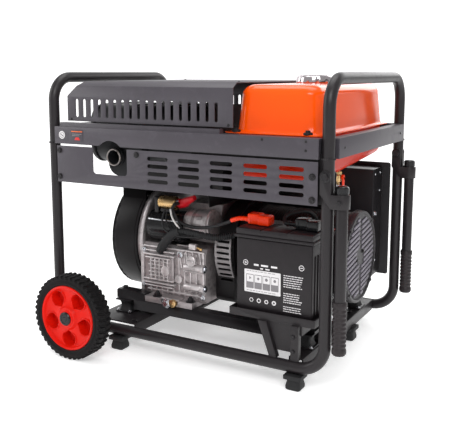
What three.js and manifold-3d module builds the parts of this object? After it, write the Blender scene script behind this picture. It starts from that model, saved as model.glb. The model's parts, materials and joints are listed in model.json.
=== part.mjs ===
// Engine driven welder: a tubular frame on two wheels and four feet that carries a petrol engine, its
// alternator, the fuel tank, the starting battery and the control box. Millimetres, +Z up, +X towards the
// folding handles, -Y towards the battery side. The floor is z = 0.
import * as THREE from "three";
import { mergeVertices } from "three/addons/utils/BufferGeometryUtils.js";
import Module from "manifold-3d";

const wasm = await Module();
wasm.setup();

// ---------------------------------------------------------------- driving dimensions
const GAP = 0.3; // between two pieces that touch
const CABLE_GAP = 1; // between a cable's end and the piece that holds it

// Frame
const FRAME_LENGTH = 750; // between the uprights' centre lines, along X
const FRAME_WIDTH = 512; // between the uprights' centre lines, along Y
const TUBE_D = 26.9;
const BEND_R = 60; // on the tube's centre line
const BASE_Z = 48; // bottom tubes' centre line
const TOP_Z = 681; // top bars' centre line
const RAIL_Z = 515; // lower edge of the upper rails
const RAIL_HEIGHT = 43;
const RAIL_T = 3;
const RAIL_FLANGE = 24; // width of the rails' inward top flange
const ARCH_R = 45; // notch in the near rail's lower edge, over the oil filler
const ARCH_RISE = 14;
const RAIL_STANDOFF = 18; // rails' outer faces, outboard of the tubes' centre lines
const CROSS_TOP = 64; // top of the two cross members
const CROSS_DEPTH = 28;
const CROSS_T = 4;
const LEFT_CROSS = [-270, -140]; // along X
const RIGHT_CROSS = [284, 320];
const FOOT_SIZE = 42;
const FOOT_LEFT_X = -178;
const FOOT_RIGHT_X = 307;
const FOOT_INNER_Y = 88; // the two feet under the cross members

// Engine subframe on rubber isolators
const RAIL_PAIR_Y = 164; // its two rails, either side of the middle
const SUB_RAIL = 28; // rails' width and height
const SUB_Z = 75; // rails' underside
const SUB_X = [-192, 235];
const CAP_X = [-246, -157]; // left end caps, on the isolators
const CAP_HEIGHT = 22;
const CAP_DROP = 3; // end caps' undersides, below the rails' tops
const ISOLATOR_SIZE = 50;

// Engine
const CRANK_Y = 0;
const CRANK_Z = 248;
const SHAFT_R = 17;
const SHAFT_CLEARANCE = 3;
const CASE_X = [-192, 8]; // crankcase
const CASE_NEAR_Y = -142;
const CASE_FAR_Y = 118;
const CASE_TOP_Z = 352;
const SHELF_Z = 250; // shelf that the starter lies on
const SHELF_Y = -62;
const ENGINE_FOOT_X = [-155, -11];
const ENGINE_FOOT_T = 15;
const CYLINDER_TILT = 35; // degrees above the horizontal
const CYLINDER_X = [-165, -50];
const CYLINDER_START = 112; // distances from the crankshaft
const CYLINDER_END = 165;
const COVER_END = 204;
const CYLINDER_WIDTH = 112;
const FAN_R = 151;
const FAN_X = [-280, -200];
const DUCT_Y = [-104, 120]; // air duct from the fan up to the cylinder
const DUCT_TOP_Z = 424;
const FAN_WALL = 6;
const INTAKE_R = 84;
const FLYWHEEL_R = 118;
const FLYWHEEL_T = 42;
const FLANGE_T = 7; // crankcase flange beside the fan housing
const STARTER_R = 42;
const STARTER_X = [-170, -66];
const GOVERNOR_R = 36; // round casting beyond the starter
const STARTER_Y = -108;
const STARTER_Z = 295;
const SOLENOID_R = 18;
const SOLENOID_X = [-142, -86];

// Exhaust, intake and heat shield
const MUFFLER_X = [-312, 40];
const MUFFLER_Y = [-188, 66];
const MUFFLER_Z = [462, 610];
const MUFFLER_CORNER = 42;
const OUTLET_X = -202;
const OUTLET_Z = 484;
const OUTLET_D = 41;
const OUTLET_END_Y = -236;
const AIR_FILTER = { x: [-190, -50], y: [96, 236], z: [408, 504], corner: 26 };
const CARB = { x: [-46, 4], y: [120, 168], z: [352, 400] };
const SHIELD_T = 2;
const SHIELD_X = [-331, 148]; // along the lower edge
const SHIELD_Y = FRAME_WIDTH / 2 - 1; // outer faces, either side of the middle
const SHIELD_Z = [572, 672];
const SHIELD_FOLD = 12; // slanted fold between side and top
const SHIELD_FOLD_Y = 18;
const SHIELD_CHAMFER = [46, 37]; // cut-off upper left corner, along X and Z
const SLOT_COUNT = 18;
const SLOT_PITCH = 23.8;
const SLOT_FIRST_X = -300;
const SLOT_SIZE = [8, 45];
const SLOT_MID_Z = 605;
const STRIP_X = [-350, 118]; // angle strip that carries the shield
const STRIP_HEIGHT = 10;

// Alternator
const ALT_R = 107;
const ALT_BRACKET_R = 113;
const ALT_WALL = 18;
const ALT_X = [18, 366]; // bracket's engine face to the end cover's outer face
const ALT_FRONT_T = 54;
const ALT_COVER_T = 16;
const ROTOR_R = 82;

// Tank
const TANK_FLANGE_X = [110, 352];
const TANK_FLANGE_Y = 240; // either side of the middle
const TANK_X = [132, 342];
const TANK_Y = 226;
const TANK_TOP_Z = 667;
const TANK_BOTTOM_Z = 466; // at the middle of the sloping floor
const TANK_FLOOR_SLOPE = 0.07;
const TANK_CORNER = 34;
const TANK_WALL = 2;
const NECK_R = 30;
const NECK_X = 236;
const NECK_Y = 0;
const CAP_R = 46;
const FUEL_CAP_HEIGHT = 20;
const VALVE_X = 318;
const VALVE_Y = -44;

// Battery and tray
const BATTERY_DEPTH = 127;
const BATTERY_FAR = -ALT_R - 6; // clear of the alternator's body
const BATTERY = { x: [148, 338], y: [BATTERY_FAR - BATTERY_DEPTH, BATTERY_FAR], height: 178 };
const LID_HEIGHT = 22;
const LID_PROUD = 3;
const TRAY_Z = 141;
const TRAY_T = 3;
const TRAY_LIP = 18;
const TRAY_MARGIN = 11;
const CABLE_D = 9;

// Side panel
const PANEL_X = [-353, 359];
const PANEL_Z = [417, 510];
const PANEL_T = 2;
const CUTOUT_X = [-237, -133];
const CUTOUT_Z = 445;
const LOUVRE_COLUMNS = 5;
const LOUVRE_ROWS = 4;
const LOUVRE_FIRST = [-44, 438]; // centre of the lower left slot
const LOUVRE_PITCH = [85.7, 18];
const LOUVRE_SIZE = [58, 9];

// Control box on the far side
const BOX_X = [-20, 335];
const BOX_Y = [174, 247];
const BOX_Z = [150, 440];
const BOX_T = 2;
const CONTROL_X = [-26, 358];
const CONTROL_Z = [142, 452];
const CONTROL_T = 3;
const KNOB_R = 19;
const KNOB_AT = [150, 392];
const KEY_AT = [40, 392];
const BREAKER_AT = [262, 392];
const TERMINAL_R = 17;
const TERMINALS = { positive: 92, negative: 212 };
const TERMINAL_Z = 196;

// Handles
const HANDLE_D = 25.4;
const HANDLE_OFFSET = 32; // handle's centre line, outboard of the upright's
const HANDLE_TOP = 460;
const HANDLE_BOTTOM = 103;
const PIVOT_Z = 480;
const SADDLE_Z = [413, 443];
const CHEEK_T = 2.5;
const CHEEK_CLEARANCE = 0.9;
const LUG_R = 12;
const BOLT_R = 5;
const GRIP_R = 15.5;
const GRIP_Z = [98, 214];

// Wheels
const TYRE_R = 104;
const TYRE_WIDTH = 46;
const RIM_R = 80;
const WHEEL_X = -240;
const WHEEL_Z = 104.5;
const WHEEL_FACE_Y = 385; // outer faces, either side of the middle
const AXLE_R = 8;
const HUB_R = 22;
const HUB_LENGTH = 50;
const WHEEL_SIDES = 28;

// Sizes that follow from the ones above
const HALF_LENGTH = FRAME_LENGTH / 2;
const HALF_WIDTH = FRAME_WIDTH / 2;
const TUBE_R = TUBE_D / 2;
const RAIL_TOP = RAIL_Z + RAIL_HEIGHT;
const RAIL_OUT_X = HALF_LENGTH + RAIL_STANDOFF;
const RAIL_OUT_Y = HALF_WIDTH + RAIL_STANDOFF;
const SUB_TOP = SUB_Z + SUB_RAIL;
const SHOULDER_Z = TANK_TOP_Z - 22; // where the tank's dome starts to round over

// ---------------------------------------------------------------- materials
const finish = (color, roughness, metalness) =>
  new THREE.MeshStandardMaterial({ color, roughness, metalness });
const charcoal = finish(0x39383d, 0.45, 0.3);
const black = finish(0x151518, 0.5, 0.1);
const rubber = finish(0x18181a, 0.85, 0);
const orange = finish(0xf4480f, 0.25, 0.1);
const red = finish(0xe81a12, 0.35, 0);
const castAluminium = finish(0xa9a4a2, 0.45, 0.85);
const brass = finish(0xb98a3e, 0.3, 0.9);
const steel = finish(0xb8b9bc, 0.25, 1);

// ---------------------------------------------------------------- shaping
const X = new THREE.Vector3(1, 0, 0);
const Y = new THREE.Vector3(0, 1, 0);
const Z = new THREE.Vector3(0, 0, 1);

// The directions that an outline's first and second coordinate and its depth run along.
const DRAWN_ON = {
  xy: [X, Y, Z],
  xz: [X, Z, Y.clone().negate()],
  yz: [Y, Z, X],
};

function slab([x0, x1], [y0, y1], [z0, z1]) {
  const box = new THREE.BoxGeometry(x1 - x0, y1 - y0, z1 - z0);
  return box.translate((x0 + x1) / 2, (y0 + y1) / 2, (z0 + z1) / 2);
}

// A round bar along an axis. The centre is given in the two other coordinates, in order.
function rod(axis, radius, [from, to], [a, b], sides = 20) {
  const bar = new THREE.CylinderGeometry(radius, radius, to - from, sides);
  const middle = (from + to) / 2;
  if (axis === "x") return bar.rotateZ(-Math.PI / 2).translate(middle, a, b);
  if (axis === "y") return bar.translate(a, middle, b);
  return bar.rotateX(Math.PI / 2).translate(a, b, middle);
}

// An outline of [a, b] points on a plane, given a thickness that ends at `to`.
function extruded(plane, outline, [from, to], curveSegments = 3) {
  const drawn = () => new THREE.Shape(outline.map(([a, b]) => new THREE.Vector2(a, b)));
  const shape = outline instanceof THREE.Shape ? outline : drawn();
  const options = { depth: to - from, bevelEnabled: false, curveSegments };
  const sheet = new THREE.ExtrudeGeometry(shape, options);
  sheet.applyMatrix4(new THREE.Matrix4().makeBasis(...DRAWN_ON[plane]));
  const start = plane === "xz" ? to : from;
  const along = { xy: [0, 0, start], xz: [0, start, 0], yz: [start, 0, 0] }[plane];
  return sheet.translate(...along);
}

function roundedRectangle([a0, a1], [b0, b1], corner) {
  const shape = new THREE.Shape();
  shape.moveTo(a0 + corner, b0);
  shape.lineTo(a1 - corner, b0);
  shape.absarc(a1 - corner, b0 + corner, corner, -Math.PI / 2, 0);
  shape.lineTo(a1, b1 - corner);
  shape.absarc(a1 - corner, b1 - corner, corner, 0, Math.PI / 2);
  shape.lineTo(a0 + corner, b1);
  shape.absarc(a0 + corner, b1 - corner, corner, Math.PI / 2, Math.PI);
  shape.lineTo(a0, b0 + corner);
  shape.absarc(a0 + corner, b0 + corner, corner, Math.PI, 1.5 * Math.PI);
  return shape;
}

// A solid turned about the X axis through (y, z), from a profile of [x, radius] points.
function turned(profile, [y, z], sides = 36) {
  const outline = profile.map(([x, r]) => new THREE.Vector2(r, x));
  const lathe = new THREE.LatheGeometry(outline, sides);
  return lathe.rotateZ(-Math.PI / 2).translate(0, y, z);
}

function solid(geometry) {
  const plain = geometry.index ? geometry.toNonIndexed() : geometry.clone();
  const bare = new THREE.BufferGeometry().setAttribute("position", plain.getAttribute("position"));
  const merged = mergeVertices(bare, 1e-3);
  return new wasm.Manifold(
    new wasm.Mesh({
      numProp: 3,
      vertProperties: merged.attributes.position.array,
      triVerts: new Uint32Array(merged.index.array),
    }),
  );
}

function geometryOf(manifold) {
  const mesh = manifold.getMesh();
  const geometry = new THREE.BufferGeometry();
  geometry.setAttribute("position", new THREE.BufferAttribute(mesh.vertProperties, 3));
  geometry.setIndex(new THREE.BufferAttribute(mesh.triVerts, 1));
  return geometry;
}

function join(...pieces) {
  return geometryOf(pieces.map(solid).reduce((whole, piece) => whole.add(piece)));
}

function cut(piece, ...tools) {
  return geometryOf(tools.map(solid).reduce((whole, tool) => whole.subtract(tool), solid(piece)));
}

// A tube's centre line: straight runs between corners, and an arc at each corner.
class TubeRun extends THREE.Curve {
  constructor(corners, bendRadius, arcSteps) {
    super();
    this.points = [];
    this.tangents = [];
    corners.forEach((corner, i) => {
      const before = corners[i - 1];
      const after = corners[i + 1];
      if (before && after) this.bend(before, corner, after, bendRadius, arcSteps);
      else this.add(corner, after ? after.clone().sub(corner) : corner.clone().sub(before));
    });
  }

  add(point, direction) {
    this.points.push(point);
    this.tangents.push(direction.clone().normalize());
  }

  bend(before, corner, after, radius, steps) {
    const into = corner.clone().sub(before).normalize();
    const out = after.clone().sub(corner).normalize();
    const angle = into.angleTo(out);
    const side = out.clone().addScaledVector(into, -Math.cos(angle)).normalize();
    const start = corner.clone().addScaledVector(into, -radius * Math.tan(angle / 2));
    for (let i = 0; i <= steps; i++) {
      const turn = (angle * i) / steps;
      const point = start.clone().addScaledVector(into, radius * Math.sin(turn));
      const direction = into.clone().multiplyScalar(Math.cos(turn)).addScaledVector(side, Math.sin(turn));
      this.add(point.addScaledVector(side, radius * (1 - Math.cos(turn))), direction);
    }
  }

  knot(list, t) {
    return list[Math.round(t * (list.length - 1))].clone();
  }

  getPoint(t) {
    return this.knot(this.points, t);
  }

  getPointAt(u) {
    return this.getPoint(u);
  }

  getTangentAt(u) {
    return this.knot(this.tangents, u);
  }
}

function circle(radius, sides) {
  const point = (_, i) => {
    const turn = (2 * Math.PI * i) / sides;
    return new THREE.Vector2(radius * Math.cos(turn), radius * Math.sin(turn));
  };
  return new THREE.Shape(Array.from({ length: sides }, point));
}

function bentTube(corners, radius, bendRadius, arcSteps = 5, sides = 12) {
  const run = new TubeRun(corners.map((c) => new THREE.Vector3(...c)), bendRadius, arcSteps);
  const steps = run.points.length - 1;
  return new THREE.ExtrudeGeometry(circle(radius, sides), { extrudePath: run, steps });
}

function cable(points, radius, steps) {
  const route = new THREE.CatmullRomCurve3(points.map((p) => new THREE.Vector3(...p)));
  return new THREE.ExtrudeGeometry(circle(radius, 8), { extrudePath: route, steps });
}

// A closed skin over rings of points that all have the same count, lowest ring first.
function lofted(rings) {
  const count = rings[0].length;
  const middle = (ring) => ring.reduce((sum, p) => sum.add(p), new THREE.Vector3()).divideScalar(count);
  const vertices = [...rings.flat(), middle(rings[0]), middle(rings.at(-1))];
  const bottom = vertices.length - 2;
  const top = vertices.length - 1;
  const last = (rings.length - 1) * count;
  const faces = [];
  for (let i = 0; i < count; i++) {
    const j = (i + 1) % count;
    for (let k = 0; k < last; k += count) {
      const above = k + count;
      faces.push(k + i, k + j, above + j, k + i, above + j, above + i);
    }
    faces.push(bottom, j, i, top, last + i, last + j);
  }
  const geometry = new THREE.BufferGeometry().setFromPoints(vertices);
  geometry.setIndex(faces);
  return geometry;
}

// One level of a tank: a rounded rectangle whose height follows z(y).
function level(inset, z, corner, steps = 3) {
  const [x0, x1] = [TANK_X[0] + inset, TANK_X[1] - inset];
  const half = TANK_Y - inset;
  const outline = roundedRectangle([x0, x1], [-half, half], corner);
  const points = outline.extractPoints(steps).shape;
  return points.map((p) => new THREE.Vector3(p.x, p.y, typeof z === "function" ? z(p.y) : z));
}

// ---------------------------------------------------------------- the assembly
const welder = new THREE.Group();
const SIDES = { near: -1, far: 1 };

function place(parent, name, geometry, material) {
  const mesh = new THREE.Mesh(geometry, material);
  mesh.name = name;
  parent.add(mesh);
  return mesh;
}

// A group whose local +Y points outwards on the given side.
function sideGroup(side, x, z) {
  const group = new THREE.Group();
  group.position.set(x, 0, z);
  group.scale.set(1, side, 1);
  welder.add(group);
  return group;
}

// ---------------------------------------------------------------- frame
function hoop(end) {
  const x = end * HALF_LENGTH;
  const seam = (end * GAP) / 2;
  const corners = [
    [seam, -HALF_WIDTH, BASE_Z],
    [x, -HALF_WIDTH, BASE_Z],
    [x, -HALF_WIDTH, TOP_Z],
    [x, HALF_WIDTH, TOP_Z],
    [x, HALF_WIDTH, BASE_Z],
    [seam, HALF_WIDTH, BASE_Z],
  ];
  return bentTube(corners, TUBE_R, BEND_R);
}

function upperRails() {
  const outer = slab([-RAIL_OUT_X, RAIL_OUT_X], [-RAIL_OUT_Y, RAIL_OUT_Y], [RAIL_Z, RAIL_TOP]);
  const inX = RAIL_OUT_X - RAIL_T;
  const inY = RAIL_OUT_Y - RAIL_T;
  const under = slab([-inX, inX], [-inY, inY], [RAIL_Z - 1, RAIL_TOP - RAIL_T]);
  const mouthX = RAIL_OUT_X - RAIL_FLANGE;
  const mouthY = RAIL_OUT_Y - RAIL_FLANGE;
  const mouth = slab([-mouthX, mouthX], [-mouthY, mouthY], [RAIL_Z, RAIL_TOP + 1]);
  const corners = [-1, 1].flatMap((sx) => [-1, 1].map((sy) => cornerCut(sx, sy)));
  const archAt = [(CUTOUT_X[0] + CUTOUT_X[1]) / 2, RAIL_Z - ARCH_R + ARCH_RISE];
  const arch = rod("y", ARCH_R, [-RAIL_OUT_Y - 1, -inY + 1], archAt, 24);
  const ring = cut(outer, under, mouth, arch, ...corners);
  const strips = Object.values(SIDES).map((side) => shieldStrip(side));
  return join(ring, ...strips, ...railLinks());
}

// The rails stop short of each corner, where the upright passes.
function cornerCut(sx, sy) {
  const reach = RAIL_STANDOFF + TUBE_R + 2;
  const xs = [sx * (HALF_LENGTH - TUBE_R - 2), sx * (HALF_LENGTH + reach)].sort((a, b) => a - b);
  const ys = [sy * (HALF_WIDTH - TUBE_R - 2), sy * (HALF_WIDTH + reach)].sort((a, b) => a - b);
  return slab(xs, ys, [RAIL_Z - 2, RAIL_TOP + 2]);
}

// Straps inside each corner join the rails past the upright.
function railLinks() {
  return [-1, 1].flatMap((sx) => [-1, 1].map((sy) => cornerStrap(sx, sy)));
}

function cornerStrap(sx, sy) {
  const inner = TUBE_R + 2.5;
  const height = [RAIL_Z, RAIL_TOP];
  const face = ([a, b]) => [a, b].sort((p, q) => p - q);
  const x = sx * (HALF_LENGTH - inner);
  const y = sy * (HALF_WIDTH - inner);
  const alongX = slab(face([x - sx * RAIL_T, sx * (RAIL_OUT_X - 1)]), face([y - sy * RAIL_T, y]), height);
  const alongY = slab(face([x - sx * RAIL_T, x]), face([y - sy * RAIL_T, sy * (RAIL_OUT_Y - 1)]), height);
  return join(alongX, alongY);
}

function shieldStrip(side) {
  const outer = side * (SHIELD_Y + SHIELD_T + GAP + 6);
  const inner = side * (SHIELD_Y - SHIELD_T - 8);
  const span = [outer, inner].sort((a, b) => a - b);
  return slab(STRIP_X, span, [RAIL_TOP - 1, RAIL_TOP + STRIP_HEIGHT]);
}

function crossMember(x) {
  const half = HALF_WIDTH - TUBE_R - GAP;
  const bar = slab(x, [-half, half], [CROSS_TOP - CROSS_DEPTH, CROSS_TOP]);
  const inside = [x[0] + CROSS_T, x[1] - CROSS_T];
  return cut(bar, slab(inside, [-half - 1, half + 1], [CROSS_TOP - CROSS_DEPTH - 1, CROSS_TOP - CROSS_T]));
}

function foot(x, y, top) {
  const half = FOOT_SIZE / 2;
  const pad = slab([x - half + 3, x + half - 3], [y - half + 3, y + half - 3], [0, top - 10]);
  return join(pad, slab([x - half, x + half], [y - half, y + half], [top - 10.5, top]));
}

function buildFrame() {
  place(welder, "left_hoop", hoop(-1), charcoal);
  place(welder, "right_hoop", hoop(1), charcoal);
  place(welder, "upper_rails", upperRails(), charcoal);
  place(welder, "left_cross_member", crossMember(LEFT_CROSS), charcoal);
  place(welder, "right_cross_member", crossMember(RIGHT_CROSS), charcoal);
  const underTube = BASE_Z - TUBE_R - GAP;
  const underCross = CROSS_TOP - CROSS_DEPTH - GAP;
  place(welder, "foot_near_left", foot(FOOT_LEFT_X, -HALF_WIDTH, underTube), rubber);
  place(welder, "foot_near_right", foot(FOOT_RIGHT_X, -HALF_WIDTH, underTube), rubber);
  place(welder, "foot_far_left", foot(LEFT_CROSS[0] + FOOT_SIZE / 2, FOOT_INNER_Y, underCross), rubber);
  place(welder, "foot_far_right", foot(FOOT_RIGHT_X, FOOT_INNER_Y, underCross), rubber);
}

// ---------------------------------------------------------------- engine subframe
function subframe() {
  const halfRail = SUB_RAIL / 2;
  const pieces = Object.values(SIDES).flatMap((side) => {
    const y = side * RAIL_PAIR_Y;
    const span = [y - halfRail, y + halfRail];
        const capBase = SUB_TOP - CAP_DROP;
    return [
      slab(SUB_X, span, [SUB_Z, SUB_TOP]),
      slab(CAP_X, span, [capBase, capBase + CAP_HEIGHT]),
      slab([SUB_X[1] - 10, RIGHT_CROSS[1]], span, [capBase, SUB_TOP + 3]),
    ];
  });
  const reach = RAIL_PAIR_Y + halfRail - 1;
  const crossbars = [CASE_X[0] + 20, CASE_X[1] - 62, SUB_X[1] - 40];
  const bars = crossbars.map((x) => slab([x, x + 36], [-reach, reach], [SUB_TOP - 16, SUB_TOP - 0.5]));
  const saddleZ = [SUB_TOP - 2, CRANK_Z - ALT_R + 20];
  const saddle = slab([SUB_X[1] - 34, SUB_X[1] - 10], [CRANK_Y - 50, CRANK_Y + 50], saddleZ);
  const hollow = rod("x", ALT_R + GAP, [SUB_X[1] - 60, SUB_X[1] + 20], [CRANK_Y, CRANK_Z], 48);
  return join(cut(saddle, hollow), ...pieces, ...bars);
}

function isolator(x, y) {
  const half = ISOLATOR_SIZE / 2 - 1;
  const top = SUB_TOP - CAP_DROP - GAP;
  const waist = slab([x - half + 6, x + half - 6], [y - half + 6, y + half - 6], [CROSS_TOP + GAP, top]);
  const base = slab([x - half, x + half], [y - half, y + half], [CROSS_TOP + GAP, CROSS_TOP + 9]);
  return join(waist, base, slab([x - half, x + half], [y - half, y + half], [top - 9, top]));
}

function buildSubframe() {
  place(welder, "engine_subframe", subframe(), black);
  const leftX = CAP_X[0] + ISOLATOR_SIZE / 2 + 1;
  const rightX = (RIGHT_CROSS[0] + RIGHT_CROSS[1]) / 2 - 8;
  for (const [name, side] of Object.entries(SIDES)) {
    place(welder, `isolator_${name}_left`, isolator(leftX, side * RAIL_PAIR_Y), rubber);
    place(welder, `isolator_${name}_right`, isolator(rightX, side * RAIL_PAIR_Y), rubber);
  }
}

// ---------------------------------------------------------------- engine
// Points of the plane across the crankshaft, along and across the cylinder's centre line.
function onCylinder(along, across) {
  const tilt = THREE.MathUtils.degToRad(CYLINDER_TILT);
  const y = CRANK_Y + along * Math.cos(tilt) - across * Math.sin(tilt);
  return [y, CRANK_Z + along * Math.sin(tilt) + across * Math.cos(tilt)];
}

function crankcase() {
  const half = CYLINDER_WIDTH / 2;
  const floor = SUB_TOP + GAP;
  const outline = [
    [CASE_NEAR_Y, floor + 8],
    [CASE_FAR_Y - 14, floor + 8],
    [CASE_FAR_Y, floor + 40],
    [CASE_FAR_Y, CRANK_Z - 20],
    onCylinder(CYLINDER_START, -half),
    onCylinder(CYLINDER_START, half),
    [CRANK_Y - 6, CASE_TOP_Z],
    [SHELF_Y + 6, CASE_TOP_Z],
    [SHELF_Y, SHELF_Z + 60],
    [SHELF_Y, SHELF_Z],
    [CASE_NEAR_Y + 10, SHELF_Z],
    [CASE_NEAR_Y, SHELF_Z - 12],
  ];
  const block = extruded("yz", outline, CASE_X);
  const footY = [-RAIL_PAIR_Y - SUB_RAIL / 2, RAIL_PAIR_Y + SUB_RAIL / 2];
  const feet = slab(ENGINE_FOOT_X, footY, [floor, floor + ENGINE_FOOT_T]);
  const flange = rod("x", FAN_R - 4, [CASE_X[0] - FLANGE_T, CASE_X[0] + 1], [CRANK_Y, CRANK_Z], 40);
  const governorAt = [STARTER_Y + 12, STARTER_Z + 12];
  const governor = rod("x", GOVERNOR_R, [STARTER_X[1] + GAP, CASE_X[1]], governorAt, 24);
  const through = [CASE_X[0] - 20, CASE_X[1] + 20];
  const bore = rod("x", SHAFT_R + SHAFT_CLEARANCE, through, [CRANK_Y, CRANK_Z], 24);
  const clearFloor = slab([CASE_X[0] - 20, CASE_X[0] + 6], [-400, 400], [0, floor]);
  return cut(join(block, feet, flange, governor), bore, clearFloor);
}

function alongCylinder(start, end, half) {
  const lower = [onCylinder(start, -half), onCylinder(end, -half)];
  return [...lower, onCylinder(end, half), onCylinder(start, half)];
}

function buildEngineCastings() {
  place(welder, "crankcase", crankcase(), castAluminium);
  const half = CYLINDER_WIDTH / 2;
  const barrel = alongCylinder(CYLINDER_START + GAP, CYLINDER_END, half);
  place(welder, "cylinder", extruded("yz", barrel, CYLINDER_X), castAluminium);
  const cover = alongCylinder(CYLINDER_END + GAP, COVER_END, half - 12);
  place(welder, "rocker_cover", extruded("yz", cover, [CYLINDER_X[0] + 10, CYLINDER_X[1] - 10]), steel);
}

function fanHousing() {
  const centre = [CRANK_Y, CRANK_Z];
  const drum = rod("x", FAN_R, FAN_X, centre, 40);
  const duct = slab([FAN_X[0] + 4, FAN_X[1]], DUCT_Y, [CRANK_Z + 60, DUCT_TOP_Z]);
  const chamber = rod("x", FAN_R - FAN_WALL, [FAN_X[0] + FAN_WALL, FAN_X[1] + 1], centre, 40);
  const ductX = [FAN_X[0] + 4 + FAN_WALL, FAN_X[1] + 1];
  const ductY = [DUCT_Y[0] + FAN_WALL, DUCT_Y[1] - FAN_WALL];
  const ductInside = slab(ductX, ductY, [CRANK_Z + 50, DUCT_TOP_Z - FAN_WALL]);
  const intake = rod("x", INTAKE_R, [FAN_X[0] - 1, FAN_X[0] + FAN_WALL + 1], centre, 32);
  return join(cut(join(drum, duct), chamber, ductInside, intake), intakeGrille());
}

// Two crossed bars and two rings over the intake.
function intakeGrille() {
  const depth = [FAN_X[0], FAN_X[0] + FAN_WALL - 2];
  const reach = INTAKE_R + 2;
  const bars = [
    slab(depth, [CRANK_Y - reach, CRANK_Y + reach], [CRANK_Z - 3, CRANK_Z + 3]),
    slab(depth, [CRANK_Y - 3, CRANK_Y + 3], [CRANK_Z - reach, CRANK_Z + reach]),
  ];
  const rings = [28, 56].map((r) => {
    const disc = rod("x", r + 3, depth, [CRANK_Y, CRANK_Z], 24);
    return cut(disc, rod("x", r - 3, [depth[0] - 1, depth[1] + 1], [CRANK_Y, CRANK_Z], 24));
  });
  return join(...bars, ...rings);
}

function flywheel() {
  const start = FAN_X[1] - FLANGE_T - FLYWHEEL_T;
  const disc = rod("x", FLYWHEEL_R, [start + 16, start + FLYWHEEL_T], [CRANK_Y, CRANK_Z], 32);
  const blades = Array.from({ length: 10 }, (_, i) => {
    const blade = slab([start, start + 18], [54, FLYWHEEL_R - 3], [-3, 3]);
    return blade.rotateX((2 * Math.PI * i) / 10).translate(0, CRANK_Y, CRANK_Z);
  });
  const bore = rod("x", SHAFT_R + GAP, [start - 1, start + FLYWHEEL_T + 1], [CRANK_Y, CRANK_Z], 20);
  return cut(join(disc, ...blades), bore);
}

function crankshaft() {
  const start = FAN_X[1] - FLANGE_T - FLYWHEEL_T;
  const end = ALT_X[1] - ALT_COVER_T - 12;
  const rotor = [ALT_X[0] + ALT_FRONT_T + 14, end - 22];
  const profile = [
    [start - 12, 0],
    [start - 12, SHAFT_R],
    [rotor[0], SHAFT_R],
    [rotor[0], ROTOR_R],
    [rotor[1], ROTOR_R],
    [rotor[1], SHAFT_R],
    [end, SHAFT_R],
    [end, 0],
  ];
  return turned(profile, [CRANK_Y, CRANK_Z], 28);
}

function buildRotatingParts() {
  place(welder, "fan_housing", fanHousing(), black);
  place(welder, "flywheel", flywheel(), castAluminium);
  place(welder, "crankshaft", crankshaft(), steel);
}

function buildStarter() {
  const centre = [STARTER_Y, STARTER_Z];
  place(welder, "starter_motor", rod("x", STARTER_R, STARTER_X, centre, 28), black);
  const above = STARTER_Z + STARTER_R + SOLENOID_R + 3;
  place(welder, "starter_solenoid", rod("x", SOLENOID_R, SOLENOID_X, [STARTER_Y - 10, above], 20), brass);
  const oilPort = [CASE_X[1] - 30, SHELF_Z - 26];
  const stick = rod("y", 9, [CASE_NEAR_Y - 18, CASE_NEAR_Y - GAP], oilPort, 16);
  const head = rod("y", 14, [CASE_NEAR_Y - 26, CASE_NEAR_Y - 16], oilPort, 16);
  place(welder, "oil_dipstick", join(stick, head), black);
}

// ---------------------------------------------------------------- exhaust and intake
function muffler() {
  const section = roundedRectangle(MUFFLER_Y, MUFFLER_Z, MUFFLER_CORNER);
  const body = extruded("yz", section, MUFFLER_X, 5);
  const chamber = roundedRectangle([OUTLET_X - 34, OUTLET_X + 72], [OUTLET_Z - 50, OUTLET_Z + 42], 34);
  const box = extruded("xz", chamber, [OUTLET_END_Y + 22, MUFFLER_Y[0] + 6], 5);
  const outletR = OUTLET_D / 2;
  const pipe = rod("y", outletR, [OUTLET_END_Y, MUFFLER_Y[0]], [OUTLET_X, OUTLET_Z], 24);
  const bore = rod("y", outletR - 2, [OUTLET_END_Y - 1, MUFFLER_Y[0] + 2], [OUTLET_X, OUTLET_Z], 24);
  const downAt = [CYLINDER_X[0] + 24, MUFFLER_Y[1] - 20];
  const down = rod("z", 17, [CASE_TOP_Z + 70, MUFFLER_Z[0] + 10], downAt, 16);
  return cut(join(body, box, pipe, down), bore);
}

function buildExhaustAndIntake() {
  place(welder, "muffler", muffler(), black);
  const { x, y, z, corner } = AIR_FILTER;
  place(welder, "air_filter", extruded("yz", roundedRectangle(y, z, corner), x, 4), black);
  place(welder, "carburettor", slab(CARB.x, CARB.y, CARB.z), castAluminium);
}

// The shield's section across the machine: two sides, a slanted fold at each, and a flat top.
function shieldSection(offset) {
  const y = SHIELD_Y - offset;
  const [low, high] = [SHIELD_Z[0], SHIELD_Z[1] - offset];
  const half = [
    [y, low],
    [y, high - SHIELD_FOLD],
    [y - SHIELD_FOLD_Y, high],
  ];
  return [...half, ...half.toReversed().map(([a, b]) => [-a, b])];
}

function heatShield() {
  const inner = shieldSection(SHIELD_T).map(([a, b]) => [a, b === SHIELD_Z[0] ? b - 1 : b]);
  const outside = extruded("yz", shieldSection(0), SHIELD_X);
  const inside = extruded("yz", inner, [SHIELD_X[0] - 1, SHIELD_X[1] + 1]);
  const [run, rise] = SHIELD_CHAMFER;
  const chamfer = [
    [SHIELD_X[0] - 1, SHIELD_Z[1] - rise],
    [SHIELD_X[0] + run, SHIELD_Z[1] + 1],
    [SHIELD_X[0] - 1, SHIELD_Z[1] + 1],
  ];
  const corner = extruded("xz", chamfer, [-SHIELD_Y - 1, SHIELD_Y + 1]);
  const slots = Array.from({ length: SLOT_COUNT }, (_, i) => shieldSlot(SLOT_FIRST_X + i * SLOT_PITCH));
  return cut(outside, inside, corner, ...slots);
}

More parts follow.
